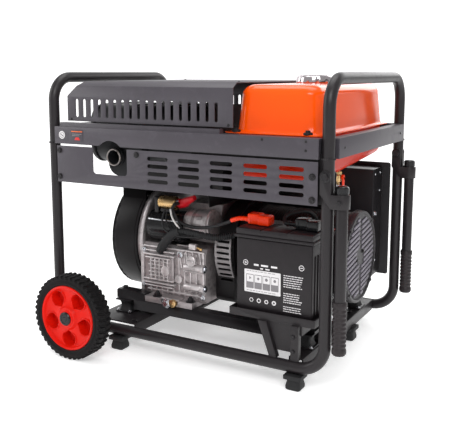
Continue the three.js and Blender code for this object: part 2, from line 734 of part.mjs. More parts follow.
function shieldSlot(x) {
  const [width, height] = SLOT_SIZE;
  const z = [SLOT_MID_Z - height / 2, SLOT_MID_Z + height / 2];
  return slab([x - width / 2, x + width / 2], [-SHIELD_Y - 1, SHIELD_Y + 1], z);
}

// ---------------------------------------------------------------- side panel
function sidePanel() {
  const y = [-RAIL_OUT_Y, -RAIL_OUT_Y + PANEL_T];
  const through = [y[0] - 1, y[1] + 1];
  const sheet = slab(PANEL_X, y, PANEL_Z);
  const notch = extruded("xz", roundedRectangle(CUTOUT_X, [CUTOUT_Z, PANEL_Z[1] + 40], 12), through, 3);
  const slots = [];
  for (let column = 0; column < LOUVRE_COLUMNS; column++) {
    for (let row = 0; row < LOUVRE_ROWS; row++) {
      const x = LOUVRE_FIRST[0] + column * LOUVRE_PITCH[0];
      const z = LOUVRE_FIRST[1] + row * LOUVRE_PITCH[1];
      slots.push(louvre(x, z, through));
    }
  }
  return cut(sheet, notch, ...slots);
}

function louvre(x, z, through) {
  const [width, height] = LOUVRE_SIZE;
  return slab([x - width / 2, x + width / 2], through, [z - height / 2, z + height / 2]);
}

// ---------------------------------------------------------------- alternator
function alternatorFront() {
  const [x0, x1] = [ALT_X[0], ALT_X[0] + ALT_FRONT_T];
  const hole = SHAFT_R + SHAFT_CLEARANCE;
  const profile = [
    [x0, hole],
    [x0, ALT_BRACKET_R - 14],
    [x0 + 10, ALT_BRACKET_R],
    [x1, ALT_BRACKET_R],
    [x1, ALT_R - ALT_WALL],
    [x0 + 12, ALT_R - ALT_WALL],
    [x0 + 12, hole],
    [x0, hole],
  ];
  const feet = Object.values(SIDES).map((side) => bracketFoot(side, [x0, x1]));
  const chamber = rod("x", ALT_R - ALT_WALL, [x0 + 12, x1 + 1], [CRANK_Y, CRANK_Z], 40);
  return join(turned(profile, [CRANK_Y, CRANK_Z], 40), ...feet.map((shape) => cut(shape, chamber)));
}

// The front bracket is squared off below, over the subframe's rails.
function bracketFoot(side, x) {
  const y = [side * (ALT_BRACKET_R - 6), side * 40].sort((a, b) => a - b);
  return extruded("yz", roundedRectangle(y, [SUB_TOP + 8, CRANK_Z], 16), x, 3);
}

function alternatorBody() {
  const span = [ALT_X[0] + ALT_FRONT_T + GAP, ALT_X[1] - ALT_COVER_T - GAP];
  const shell = rod("x", ALT_R, span, [CRANK_Y, CRANK_Z], 40);
  return cut(shell, rod("x", ALT_R - ALT_WALL, [span[0] - 1, span[1] + 1], [CRANK_Y, CRANK_Z], 40));
}

function alternatorEndCover() {
  const [x0, x1] = [ALT_X[1] - ALT_COVER_T, ALT_X[1]];
  const profile = [
    [x0, 0],
    [x0, ALT_BRACKET_R],
    [x1 - 9, ALT_BRACKET_R],
    [x1 - 1, ALT_BRACKET_R - 12],
    [x1, ALT_BRACKET_R - 26],
    [x1, 0],
  ];
  const disc = turned(profile, [CRANK_Y, CRANK_Z], 40);
  const slots = [-1, 1].flatMap((half) => [-3, -2, -1, 0, 1, 2, 3].map((row) => coverSlot(half, row)));
  return cut(disc, ...slots);
}

// A slanted slot in one half of the end cover; the halves mirror each other.
function coverSlot(half, row) {
  const reach = Math.sqrt((ALT_BRACKET_R - 24) ** 2 - (row * 22) ** 2) - 16;
  const bar = slab([ALT_X[1] - ALT_COVER_T - 1, ALT_X[1] + 1], [8, 8 + Math.min(reach, 62)], [-3.5, 3.5]);
  bar.rotateX(THREE.MathUtils.degToRad(20));
  bar.scale(1, half, 1);
  if (half < 0) flip(bar);
  return bar.translate(0, CRANK_Y, CRANK_Z + row * 22);
}

// Turns a mirrored geometry's faces outwards again.
function flip(geometry) {
  const index = geometry.getIndex().array;
  for (let i = 0; i < index.length; i += 3) [index[i + 1], index[i + 2]] = [index[i + 2], index[i + 1]];
}

function buildAlternator() {
  place(welder, "alternator_front", alternatorFront(), black);
  place(welder, "alternator_body", alternatorBody(), charcoal);
  place(welder, "alternator_end_cover", alternatorEndCover(), black);
}

// ---------------------------------------------------------------- fuel system
const tankFloor = (y) => TANK_BOTTOM_Z + TANK_FLOOR_SLOPE * y;

function tankShape(wall) {
  return lofted([
    level(14 + wall, (y) => tankFloor(y) + wall, TANK_CORNER - 8),
    level(wall, (y) => tankFloor(y) + 16, TANK_CORNER),
    level(wall, RAIL_TOP, TANK_CORNER),
    level(7 + wall, SHOULDER_Z, TANK_CORNER),
    level(12 + wall, SHOULDER_Z + 14, TANK_CORNER),
    level(26 + wall, TANK_TOP_Z - wall, TANK_CORNER - 4),
  ]);
}

function fuelTank() {
  const flangeSpan = [RAIL_TOP + GAP, RAIL_TOP + GAP + 3];
  const outline = roundedRectangle(TANK_FLANGE_X, [-TANK_FLANGE_Y, TANK_FLANGE_Y], 20);
  const flange = extruded("xy", outline, flangeSpan, 4);
  const neck = rod("z", NECK_R, [TANK_TOP_Z - 6, TANK_TOP_Z + 8], [NECK_X, NECK_Y], 24);
  const bore = rod("z", NECK_R - TANK_WALL, [TANK_TOP_Z - 30, TANK_TOP_Z + 9], [NECK_X, NECK_Y], 24);
  return cut(join(tankShape(0), flange, neck), tankShape(TANK_WALL), bore);
}

function fuelCap() {
  const base = TANK_TOP_Z + GAP;
  const top = base + FUEL_CAP_HEIGHT;
  const lid = rod("z", CAP_R, [base, top - 4], [NECK_X, NECK_Y], 36);
  const crown = rod("z", CAP_R - 7, [top - 5, top], [NECK_X, NECK_Y], 36);
  const clearance = rod("z", NECK_R + 1, [base - 1, TANK_TOP_Z + 9], [NECK_X, NECK_Y], 24);
  return cut(join(lid, crown), clearance);
}

function buildFuelSystem() {
  place(welder, "fuel_tank", fuelTank(), orange);
  place(welder, "fuel_cap", fuelCap(), steel);
  const under = tankFloor(VALVE_Y) - 1.5;
  const body = rod("z", 9, [under - 26, under], [VALVE_X, VALVE_Y], 16);
  const barb = rod("z", 4, [under - 40, under - 25], [VALVE_X, VALVE_Y], 12);
  place(welder, "fuel_valve", join(body, barb), brass);
  const hub = rod("x", 6, [VALVE_X + 9 + GAP, VALVE_X + 15], [VALVE_Y, under - 14], 12);
  const tab = slab([VALVE_X + 11, VALVE_X + 15], [VALVE_Y - 4, VALVE_Y + 4], [under - 36, under - 14]);
  place(welder, "fuel_valve_lever", join(hub, tab), red);
  const end = [CARB.x[1] + 3 * CABLE_GAP, CARB.y[0] + 20, CARB.z[0] + 20];
  const route = [
    [VALVE_X, VALVE_Y, under - 40 - CABLE_GAP],
    [VALVE_X, VALVE_Y, under - 50],
    [VALVE_X - 40, VALVE_Y + 30, under - 78],
    [200, 60, 374],
    [80, 110, 374],
    [20, 150, 372],
    end,
  ];
  place(welder, "fuel_hose", cable(route, 4, 28), rubber);
}

// ---------------------------------------------------------------- battery
function batteryTray() {
  const x = [BATTERY.x[0] - TRAY_MARGIN, BATTERY.x[1] + TRAY_MARGIN];
  const y = [BATTERY.y[0] - TRAY_MARGIN, BATTERY.y[1] + TRAY_MARGIN];
  const inside = [x, y].map(([low, high]) => [low + TRAY_T, high - TRAY_T]);
  const hollow = slab(...inside, [TRAY_Z + TRAY_T, TRAY_Z + TRAY_LIP + 1]);
  const pan = cut(slab(x, y, [TRAY_Z, TRAY_Z + TRAY_LIP]), hollow);
  const legTop = TRAY_Z + 1;
  const tubeTop = BASE_Z + TUBE_R + GAP;
  const near = [-HALF_WIDTH - 4, -HALF_WIDTH + TUBE_R - 1];
  const slanted = [
    [214, legTop],
    [236, legTop],
    [262, tubeTop],
    [244, tubeTop],
  ];
  const diagonal = extruded("xz", slanted, near);
  const upright = slab([296, 314], near, [tubeTop, legTop]);
  const web = slab([236, 306], [near[1] - 3, near[1]], [tubeTop + 14, legTop]);
  const hanger = slab([300, 318], [near[1] - 3, y[1] - 2], [legTop - 24, legTop]);
  const back = slab([300, 318], [y[1] - 22, y[1] - 2], [CROSS_TOP + GAP, legTop]);
  return join(pan, diagonal, upright, web, hanger, back);
}

function terminalCover(x, y, z, length) {
  const block = roundedRectangle([x[0], x[1]], [y, y + 30], 8);
  const body = extruded("xy", block, [z, z + 20], 3);
  return join(body, slab([x[0] - length, x[0] + 6], [y + 8, y + 22], [z + 3, z + 15]));
}

function buildBattery() {
  place(welder, "battery_tray", batteryTray(), charcoal);
  const base = TRAY_Z + TRAY_T + GAP;
  const top = base + BATTERY.height;
  place(welder, "battery_case", slab(BATTERY.x, BATTERY.y, [base, top]), black);
  const grow = ([low, high]) => [low - LID_PROUD, high + LID_PROUD];
  const lidTop = top + GAP + LID_HEIGHT;
  place(welder, "battery_lid", slab(grow(BATTERY.x), grow(BATTERY.y), [top + GAP, lidTop]), black);
  const [x0, x1] = BATTERY.x;
  const coverY = BATTERY.y[0] + 40;
  const seat = lidTop + GAP;
  place(welder, "positive_cover", terminalCover([x0 + 8, x0 + 62], coverY, seat, 18), red);
  place(welder, "negative_cover", terminalCover([x1 - 62, x1 - 8], coverY, seat, 18), black);
  buildBatteryCables(coverY + 15, seat + 9);
}

function buildBatteryCables(y, z) {
  const [x0, x1] = BATTERY.x;
  const start = x0 - 10 - CABLE_GAP;
  const tail = [SOLENOID_X[1] + CABLE_GAP, STARTER_Y - 10, STARTER_Z + STARTER_R + SOLENOID_R + 3];
  const positive = [
    [start, y, z],
    [start - 24, y + 2, z - 1],
    [60, -178, z - 4],
    [16, -162, z + 2],
    [-26, -136, tail[2]],
    [-60, tail[1] - 6, tail[2] + 1],
    [-74, tail[1], tail[2]],
    tail,
  ];
  place(welder, "positive_cable", cable(positive, CABLE_D / 2, 22), red);
  const from = x1 - 62 - 18 - CABLE_GAP;
  const negative = [
    [from, y, z],
    [from - 12, y + 1, z + 1],
    [from - 20, y + 24, z + 12],
    [from + 10, y + 58, z + 20],
    [from + 26, y + 82, z + 6],
    [from + 28, groundLug(22)[0], groundLug(22)[1]],
    [from + 28, ...groundLug(CABLE_D / 2)],
  ];
  place(welder, "negative_cable", cable(negative, CABLE_D / 2, 20), rubber);
}

// A point at a clearance from the alternator's upper near side, where the earth lead lands.
function groundLug(clearance) {
  const reach = (ALT_R + clearance) * Math.SQRT1_2;
  return [CRANK_Y - reach, CRANK_Z + reach];
}

// ---------------------------------------------------------------- control box
function controlBox() {
  const [x, y, z] = [BOX_X, BOX_Y, BOX_Z];
  const inside = slab([x[0] + BOX_T, x[1] - BOX_T], [y[0] + BOX_T, y[1] + 1], [z[0] + BOX_T, z[1] - BOX_T]);
  return cut(slab(x, y, z), inside);
}

function buildControlBox() {
  const face = BOX_Y[1] + GAP + CONTROL_T;
  place(welder, "control_box", controlBox(), charcoal);
  place(welder, "control_panel", slab(CONTROL_X, [BOX_Y[1] + GAP, face], CONTROL_Z), charcoal);
  const seat = face + GAP;
  const skirt = rod("y", KNOB_R, [seat, seat + 6], KNOB_AT, 24);
  const grip = rod("y", KNOB_R - 4, [seat + 5, seat + 20], KNOB_AT, 24);
  const [knobX, knobZ] = KNOB_AT;
  const pointer = slab([knobX - 2, knobX + 2], [seat + 18, seat + 22], [knobZ + 2, knobZ + 13]);
  place(welder, "current_knob", join(skirt, grip, pointer), black);
  const barrel = rod("y", 10, [seat, seat + 4], KEY_AT, 20);
  const bow = slab([KEY_AT[0] - 2, KEY_AT[0] + 2], [seat + 3, seat + 22], [KEY_AT[1] - 10, KEY_AT[1] + 10]);
  place(welder, "ignition_key", join(barrel, bow), steel);
  place(welder, "breaker_lever", breakerLever(seat), black);
  for (const [name, x] of Object.entries(TERMINALS)) {
    const ring = rod("y", TERMINAL_R, [seat, seat + 14], [x, TERMINAL_Z], 24);
    const stud = rod("y", 6, [seat + 13, seat + 24], [x, TERMINAL_Z], 16);
    place(welder, `weld_terminal_${name}`, join(ring, stud), name === "positive" ? red : black);
  }
}

function breakerLever(seat) {
  const pin = rod("x", 5, [BREAKER_AT[0] - 8, BREAKER_AT[0] + 8], [seat + 5, BREAKER_AT[1]], 12);
  const [leverX, leverZ] = BREAKER_AT;
  const finger = slab([leverX - 6, leverX + 6], [seat + 5, seat + 17], [leverZ - 3, leverZ + 3]);
  return join(pin, finger);
}

// ---------------------------------------------------------------- handles
// Built about the pivot bolt: local X is outboard, local Z is up and local Y is across the upright.
function handle() {
  const top = HANDLE_TOP - PIVOT_Z;
  const tube = rod("z", HANDLE_D / 2, [HANDLE_BOTTOM - PIVOT_Z, top], [HANDLE_OFFSET, 0], 20);
  const bore = rod("z", HANDLE_D / 2 - 2, [HANDLE_BOTTOM - PIVOT_Z - 1, top - 3], [HANDLE_OFFSET, 0], 16);
  const inner = TUBE_R + CHEEK_CLEARANCE;
  const cheeks = [-1, 1].map((side) => {
    const span = [side * inner, side * (inner + CHEEK_T)].sort((a, b) => a - b);
    return extruded("xz", cheekOutline(), span, 5);
  });
  const wrapR = inner + CHEEK_T;
  const saddle = SADDLE_Z.map((z) => z - PIVOT_Z);
  const wrap = rod("z", wrapR, saddle, [HANDLE_OFFSET, 0], 24);
  const open = slab([-60, HANDLE_OFFSET], [-inner, inner], [saddle[0] - 1, saddle[1] + 1]);
  const seat = rod("z", inner - 2, [saddle[0] - 1, saddle[1] + 1], [HANDLE_OFFSET, 0], 20);
  const wrapOut = cut(wrap, open, seat);
  const filler = slab([HANDLE_OFFSET - 3, HANDLE_OFFSET + 3], [-inner - 1, inner + 1], saddle);
  const hole = rod("y", BOLT_R + GAP, [-40, 40], [0, 0], 16);
  return cut(join(tube, wrapOut, filler, ...cheeks), bore, hole);
}

function cheekOutline() {
  const [low, high] = SADDLE_Z.map((z) => z - PIVOT_Z);
  const shape = new THREE.Shape();
  shape.moveTo(HANDLE_OFFSET, low);
  shape.lineTo(HANDLE_OFFSET, high);
  shape.lineTo(LUG_R, high);
  shape.lineTo(LUG_R, 0);
  shape.absarc(0, 0, LUG_R, 0, Math.PI);
  shape.lineTo(-LUG_R, high);
  shape.lineTo(HANDLE_OFFSET - 20, low);
  return shape;
}

function grip() {
  const [low, high] = GRIP_Z.map((z) => z - PIVOT_Z);
  const sleeve = rod("z", GRIP_R, [low, high], [HANDLE_OFFSET, 0], 20);
  const reach = [HANDLE_BOTTOM - PIVOT_Z - GAP, high + 1];
  const socket = rod("z", HANDLE_D / 2 + GAP, reach, [HANDLE_OFFSET, 0], 20);
  return cut(sleeve, socket);
}

function buildHandles() {
  for (const [name, side] of Object.entries(SIDES)) {
    const group = new THREE.Group();
    group.position.set(HALF_LENGTH, side * HALF_WIDTH, PIVOT_Z);
    welder.add(group);
    place(group, `handle_${name}`, handle(), charcoal);
    place(group, `grip_${name}`, grip(), rubber);
  }
}

// ---------------------------------------------------------------- wheels
function tyre() {
  const half = TYRE_WIDTH / 2;
  const section = [
    [-half + 3, RIM_R + GAP],
    [-half, RIM_R + 6],
    [-half, TYRE_R - 7],
    [-half + 6, TYRE_R],
    [half - 6, TYRE_R],
    [half, TYRE_R - 7],
    [half, RIM_R + 6],
    [half - 3, RIM_R + GAP],
    [-half + 3, RIM_R + GAP],
  ];
  return turned(section, [0, 0], WHEEL_SIDES).rotateZ(Math.PI / 2);
}

function rim() {
  const half = TYRE_WIDTH / 2;
  const hubHalf = HUB_LENGTH / 2;
  const bore = AXLE_R + 0.4;
  const section = [
    [-hubHalf, bore],
    [-hubHalf, HUB_R],
    [-half + 8, HUB_R + 3],
    [-half + 8, RIM_R - 8],
    [-half + 4, RIM_R],
    [half - 4, RIM_R],
    [half - 4, RIM_R - 8],
    [half - 1, HUB_R + 6],
    [hubHalf, HUB_R],
    [hubHalf, bore],
    [-hubHalf, bore],
  ];
  const disc = turned(section, [0, 0], WHEEL_SIDES).rotateZ(Math.PI / 2);
  const pockets = Array.from({ length: 5 }, (_, i) => {
    const turn = (2 * Math.PI * (i + 0.75)) / 5;
    const at = [50 * Math.cos(turn), 50 * Math.sin(turn)];
    return rod("y", 19, [-half + 14, half + 1], at, 10);
  });
  return cut(disc, ...pockets);
}

// A welded box arm beside the bottom tube, with the axle and its collar.
function wheelBracket() {
  const inner = HALF_WIDTH + TUBE_R + GAP;
  const wheelInner = WHEEL_FACE_Y - TYRE_WIDTH / 2 - HUB_LENGTH / 2 - 1;
  const arm = slab([-26, 26], [inner, wheelInner - 6], [-48, 16]);
  const hollow = slab([-20, 20], [inner + 4, wheelInner - 10], [-60, 10]);
  const collar = rod("y", 14, [wheelInner - 7, wheelInner], [0, 0], 20);
  const axle = rod("y", AXLE_R, [wheelInner - 8, WHEEL_FACE_Y + 5], [0, 0], 20);
  return join(cut(arm, hollow), collar, axle);
}

function buildWheels() {
  for (const [name, side] of Object.entries(SIDES)) {
    const group = sideGroup(side, WHEEL_X, WHEEL_Z);
    const middle = WHEEL_FACE_Y - TYRE_WIDTH / 2;
    place(group, `tyre_${name}`, tyre(), rubber).position.y = middle;
    place(group, `rim_${name}`, rim(), red).position.y = middle;
    place(group, `wheel_bracket_${name}`, wheelBracket(), charcoal);
  }
}

// ---------------------------------------------------------------- everything
buildFrame();
buildSubframe();
buildEngineCastings();
buildRotatingParts();
buildStarter();
buildExhaustAndIntake();
place(welder, "heat_shield", heatShield(), charcoal);
place(welder, "side_panel", sidePanel(), charcoal);
buildAlternator();
buildFuelSystem();
buildBattery();
buildControlBox();
buildHandles();
buildWheels();

// The origin is the middle of the footprint, on the floor.
welder.updateMatrixWorld(true);
const extent = new THREE.Box3().setFromObject(welder);
const centre = extent.getCenter(new THREE.Vector3());
const part = new THREE.Group();
part.add(welder);
welder.position.set(-centre.x, -centre.y, -extent.min.z);

export default part;
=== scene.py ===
"""Engine driven welder: a tubular frame with its engine, alternator, tank, battery and control box.

Shapes are drawn in millimetres and made in metres. +X runs towards the folding handles, -Y is the
battery side and +Z is up. The floor is z = 0.
"""
import json
import math
import random

import bmesh
import bpy
from mathutils import Matrix, Vector


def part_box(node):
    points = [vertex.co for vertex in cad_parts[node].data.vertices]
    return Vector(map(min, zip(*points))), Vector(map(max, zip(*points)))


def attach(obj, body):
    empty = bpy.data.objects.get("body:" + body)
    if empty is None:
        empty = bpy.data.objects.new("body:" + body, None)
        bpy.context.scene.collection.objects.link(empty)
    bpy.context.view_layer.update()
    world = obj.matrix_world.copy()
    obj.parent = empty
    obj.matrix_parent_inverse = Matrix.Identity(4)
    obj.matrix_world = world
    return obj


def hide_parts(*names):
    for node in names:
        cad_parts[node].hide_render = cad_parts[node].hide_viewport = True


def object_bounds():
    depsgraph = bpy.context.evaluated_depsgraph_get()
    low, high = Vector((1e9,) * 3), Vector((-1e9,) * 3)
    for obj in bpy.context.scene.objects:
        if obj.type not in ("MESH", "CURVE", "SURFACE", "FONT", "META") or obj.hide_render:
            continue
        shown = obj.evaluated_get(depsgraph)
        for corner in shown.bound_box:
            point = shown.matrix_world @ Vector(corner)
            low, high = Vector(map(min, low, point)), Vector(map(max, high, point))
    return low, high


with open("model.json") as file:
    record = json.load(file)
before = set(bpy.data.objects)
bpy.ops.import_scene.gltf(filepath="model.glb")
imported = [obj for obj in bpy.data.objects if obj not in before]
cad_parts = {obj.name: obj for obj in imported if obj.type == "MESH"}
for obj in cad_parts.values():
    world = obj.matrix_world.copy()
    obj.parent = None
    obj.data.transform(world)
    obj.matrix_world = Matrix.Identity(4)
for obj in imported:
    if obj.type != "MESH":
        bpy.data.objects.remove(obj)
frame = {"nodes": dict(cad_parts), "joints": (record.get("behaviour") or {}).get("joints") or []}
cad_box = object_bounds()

MM = 0.001
AXES = {"x": 0, "y": 1, "z": 2}
NEAR, FAR = -1, 1


# ---------------------------------------------------------------- places
class Place:
    """A node's box in millimetres: corners x0, x1 and so on, and the middle x, y, z."""

    def __init__(self, node):
        low, high = (Vector(corner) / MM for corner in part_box(node))
        self.x0, self.y0, self.z0 = low
        self.x1, self.y1, self.z1 = high
        self.x, self.y, self.z = (low + high) / 2


def place(node):
    return Place(node)


def pivot_of(joint):
    """Where a joint turns, in millimetres."""
    return Vector(next(j for j in frame["joints"] if j["name"] == joint)["pos_m"]) / MM


OFFSET = place("side_panel").x0 + 353  # the engine's own zero, along X
CRANK = pivot_of("crank_spin")
SHAFT = (CRANK.y, CRANK.z)


def engine_x(low, high):
    """A span along X, given from the engine's own zero."""
    return low + OFFSET, high + OFFSET


# ---------------------------------------------------------------- shader maths
class Value:
    """A shader socket that sums can be written on."""

    def __init__(self, surface, socket):
        self.surface = surface
        self.socket = socket

    def maths(self, operation, first, second, clamp=False):
        settings = {"operation": operation, "use_clamp": clamp}
        return self.surface.node("ShaderNodeMath", settings, {0: first, 1: second})

    def __add__(self, other):
        return self.maths("ADD", self, other)

    def __radd__(self, other):
        return self.maths("ADD", other, self)

    def __sub__(self, other):
        return self.maths("SUBTRACT", self, other)

    def __rsub__(self, other):
        return self.maths("SUBTRACT", other, self)

    def __mul__(self, other):
        return self.maths("MULTIPLY", self, other)

    def __rmul__(self, other):
        return self.maths("MULTIPLY", other, self)

    def clamped(self):
        return self.maths("ADD", self, 0.0, clamp=True)


class Surface:
    """A material whose nodes are added by name, over one Principled shader."""

    def __init__(self, name, **fixed):
        self.material = bpy.data.materials.new(name)
        self.material.use_nodes = True
        self.tree = self.material.node_tree
        self.shader = self.tree.nodes["Principled BSDF"]
        for socket, value in fixed.items():
            self.feed(self.shader, socket.replace("_", " "), value)

    def feed(self, node, socket, value):
        target = node.inputs[socket]
        if isinstance(value, Value):
            self.tree.links.new(value.socket, target)
        elif isinstance(value, tuple) and len(value) == 3 and target.type == "RGBA":
            target.default_value = (*value, 1)
        else:
            target.default_value = value

    def node(self, kind, settings=None, sockets=None, output=0):
        made = self.tree.nodes.new(kind)
        for name, value in (settings or {}).items():
            setattr(made, name, value)
        for socket, value in (sockets or {}).items():
            self.feed(made, socket, value)
        return Value(self, made.outputs[output])

    def set(self, **values):
        for socket, value in values.items():
            self.feed(self.shader, socket.replace("_", " "), value)
        return self.material

    def coordinates(self):
        return self.node("ShaderNodeTexCoord", output="Object")

    def noise(self, scale, detail=3.0, roughness=0.5, stretch=None):
        where = self.coordinates()
        if stretch:
            where = self.node("ShaderNodeMapping", {}, {"Vector": where, "Scale": stretch})
        sockets = {"Vector": where, "Scale": scale, "Detail": detail, "Roughness": roughness}
        return self.node("ShaderNodeTexNoise", {}, sockets)

    def cells(self, scale):
        return self.node("ShaderNodeTexVoronoi", {}, {"Vector": self.coordinates(), "Scale": scale})

    def along(self):
        """How far back a point lies on its object, in metres."""
        return self.node("ShaderNodeSeparateXYZ", {}, {0: self.coordinates()}, output="Y")

    def mix(self, factor, first, second):
        return self.node("ShaderNodeMix", {"data_type": "RGBA"}, {0: factor, 6: first, 7: second}, output=2)

    @staticmethod
    def band(value, low, high):
        """0 below low, 1 above high and straight between."""
        return ((value - low) * (1 / (high - low))).clamped()

    def bump(self, relief, depth, strength=1.0):
        sockets = {"Height": relief, "Distance": depth, "Strength": strength}
        return self.node("ShaderNodeBump", {}, sockets, output="Normal")


# ---------------------------------------------------------------- finishes
def tinted(colour, amount):
    return tuple(min(1.0, channel * amount) for channel in colour)


def powder_coat(name, colour, roughness=0.4, grain=0.00012, shine=0.3):
    """Oven-baked paint: a fine orange peel, faint colour drift and patches of dust."""
    s = Surface(name, Coat_Weight=0.03, Coat_Roughness=0.3, Specular_IOR_Level=shine)
    drift = s.noise(7, 2)
    speckle = s.noise(900, 2)
    dust = s.band(s.noise(38, 5, 0.7), 0.52, 0.75)
    shade = s.mix(drift, tinted(colour, 0.86), tinted(colour, 1.16))
    worn = s.mix(dust * 0.22, shade, tinted(colour, 2.1))
    rough = roughness - 0.05 + drift * 0.07 + dust * 0.1
    return s.set(Base_Color=worn, Roughness=rough, Normal=s.bump(speckle, grain, 0.5))


def enamel(name, colour, roughness=0.16, lacquer=0.35):
    """Sprayed gloss enamel under clear lacquer, with a slight orange peel."""
    s = Surface(name, Coat_Weight=lacquer, Coat_Roughness=0.12, Specular_IOR_Level=0.15)
    drift = s.noise(5, 2)
    peel = s.noise(260, 1)
    haze = s.band(s.noise(60, 4, 0.65), 0.55, 0.8)
    shade = s.mix(drift, tinted(colour, 0.93), tinted(colour, 1.06))
    return s.set(Base_Color=shade, Roughness=roughness + haze * 0.12, Normal=s.bump(peel, 0.00006, 0.5))


def cast_metal(name, colour, grain=0.0004, metallic=0.75):
    """Sand or die castings: pitted grain, flow marks and patches of dark stain."""
    s = Surface(name, Metallic=metallic)
    pits = s.cells(520)
    sand = s.noise(640, 4, 0.7)
    flow = s.noise(26, 4, 0.6)
    stain = s.band(s.noise(55, 5, 0.7), 0.5, 0.7)
    bright = s.mix(flow, tinted(colour, 0.78), tinted(colour, 1.15))
    shade = s.mix(stain * 0.65, bright, tinted(colour, 0.3))
    relief = sand * 0.7 + pits * 0.5
    rough = 0.38 + stain * 0.16 + sand * 0.1
    return s.set(Base_Color=shade, Roughness=rough, Normal=s.bump(relief, grain, 0.55))


def machined(name, colour, roughness=0.28, stretch=(1, 30, 30)):
    """Turned or ground metal with fine tool lines."""
    s = Surface(name, Metallic=1.0)
    lines = s.noise(90, 4, 0.7, stretch)
    drift = s.noise(22, 3)
    shade = s.mix(drift, tinted(colour, 0.8), tinted(colour, 1.12))
    rough = roughness - 0.06 + lines * 0.16
    return s.set(Base_Color=shade, Roughness=rough, Normal=s.bump(lines, 0.00005, 0.4))


def plated(name, first, second, roughness=0.22):
    """Zinc or brass plate whose tint wanders over the surface."""
    s = Surface(name, Metallic=1.0)
    cloud = s.band(s.noise(48, 4, 0.6), 0.3, 0.7)
    scratch = s.noise(400, 3)
    rough = roughness + cloud * 0.12
    return s.set(Base_Color=s.mix(cloud, first, second), Roughness=rough,
                 Normal=s.bump(scratch, 0.00004, 0.4))


def moulded(name, colour, roughness=0.45, grain=0.00014, scale=1100):
    """Moulded plastic or rubber with a spark-eroded grain and a little bloom."""
    s = Surface(name, Specular_IOR_Level=0.3)
    texture = s.noise(scale, 2)
    bloom = s.band(s.noise(30, 5, 0.7), 0.45, 0.75)
    shade = s.mix(bloom * 0.5, colour, tinted(colour, 1.7))
    rough = roughness - 0.04 + bloom * 0.12
    return s.set(Base_Color=shade, Roughness=rough, Normal=s.bump(texture, grain, 0.6))


def tyre_rubber():
    """Solid tyre rubber, greyed by patches of dust."""
    s = Surface("tyre_rubber", Specular_IOR_Level=0.18)
    texture = s.noise(700, 3)
    dust = s.band(s.noise(42, 6, 0.75), 0.42, 0.72)
    shade = s.mix(dust * 0.5, (0.0045, 0.004, 0.0045), (0.022, 0.0195, 0.02))
    return s.set(Base_Color=shade, Roughness=0.66 + dust * 0.2, Normal=s.bump(texture, 0.00025, 0.6))


def printed(name, colour):
    """Screen ink or a paper label."""
    s = Surface(name)
    fibre = s.noise(1500, 2)
    smudge = s.noise(70, 3)
    shade = s.mix(smudge, tinted(colour, 0.9), colour)
    return s.set(Base_Color=shade, Roughness=0.42 + smudge * 0.14, Normal=s.bump(fibre, 0.00003, 0.3))


def pale_floor():
    """White studio paper that glows a little more where it curves up behind the machine."""
    s = Surface("pale_floor", Emission_Strength=0.7, Specular_IOR_Level=0.1)
    cloud = s.noise(1.5, 3)
    paper = s.mix(cloud, (0.87, 0.87, 0.87), (0.9, 0.9, 0.9))
    glow = s.mix(s.band(s.along(), 1.0, 3.0), (0.62, 0.62, 0.62), (1.0, 1.0, 1.0))
    return s.set(Base_Color=paper, Emission_Color=glow, Roughness=0.6 + cloud * 0.1)


PAINT = powder_coat("frame_powder_coat", (0.0155, 0.013, 0.0145))
SHEET_PAINT = powder_coat("sheet_powder_coat", (0.058, 0.052, 0.062), 0.45)
BLACK_PAINT = powder_coat("black_chassis_paint", (0.012, 0.0105, 0.012), 0.36)
FAN_PAINT = powder_coat("fan_housing_paint", (0.0065, 0.0054, 0.006), 0.4, shine=0.16)
COVER_PAINT = powder_coat("end_cover_paint", (0.014, 0.012, 0.0145), 0.42)
FIN_PAINT = powder_coat("end_cover_fins", (0.17, 0.155, 0.185), 0.45)
ORANGE = enamel("orange_tank_enamel", (0.93, 0.088, 0.003))
RED_RIM = enamel("red_rim_gloss", (0.66, 0.008, 0.002), 0.4, 0.02)
# A darker copy of the tank's orange enamel for the half below the flange: painted shade under the flange.
SHADED_BELLY = enamel("tank_belly_painted_shade", (0.6, 0.02, 0.0015), 0.3, 0.04)
CASTING = cast_metal("cast_aluminium", (0.42, 0.38, 0.385))
# A lighter copy of the cast aluminium: painted highlight on the raised ribs, fins and bosses that catch the
# light.
HIGHLIGHT_CASTING = cast_metal("cast_aluminium_painted_highlight", (0.66, 0.62, 0.625), 0.0002)
GREY_CASTING = cast_metal("alternator_casting", (0.3, 0.28, 0.285), 0.0003, 0.5)
STEEL = machined("turned_steel", (0.5, 0.5, 0.51))
PLATE_STEEL = machined("zinc_plated_bolts", (0.6, 0.61, 0.64), 0.24, (8, 8, 8))
CHROME = machined("bright_chrome", (0.55, 0.5, 0.52), 0.14, (4, 4, 4))
BRASS = plated("yellow_zinc_plate", (0.5, 0.31, 0.12), (0.66, 0.46, 0.24))
MUFFLER_PAINT = powder_coat("heat_proof_black", (0.014, 0.014, 0.016), 0.5)
OUTLET_STEEL = plated("heat_blued_steel", (0.3, 0.29, 0.3), (0.5, 0.44, 0.4), 0.3)
BLACK_PLASTIC = moulded("black_plastic", (0.009, 0.008, 0.009))
SHINY_PLASTIC = moulded("shiny_black_plastic", (0.009, 0.009, 0.01), 0.22, 0.00005)
BATTERY_PLASTIC = moulded("battery_plastic", (0.0115, 0.009, 0.0105), 0.42)
RUBBER = moulded("moulded_rubber", (0.013, 0.013, 0.014), 0.62, 0.0002)
GRIP_RUBBER = moulded("grip_rubber", (0.02, 0.0155, 0.017), 0.52)
RED_PLASTIC = moulded("red_clamp_plastic", (0.95, 0.038, 0.003), 0.28, 0.00006)
RED_RUBBER = moulded("red_boot_rubber", (0.5, 0.008, 0.014), 0.34)
WHITE_WIRE = moulded("white_wire", (0.7, 0.69, 0.67), 0.4, 0.00004)
TYRE = tyre_rubber()
WHITE_INK = printed("white_ink", (0.72, 0.7, 0.71))
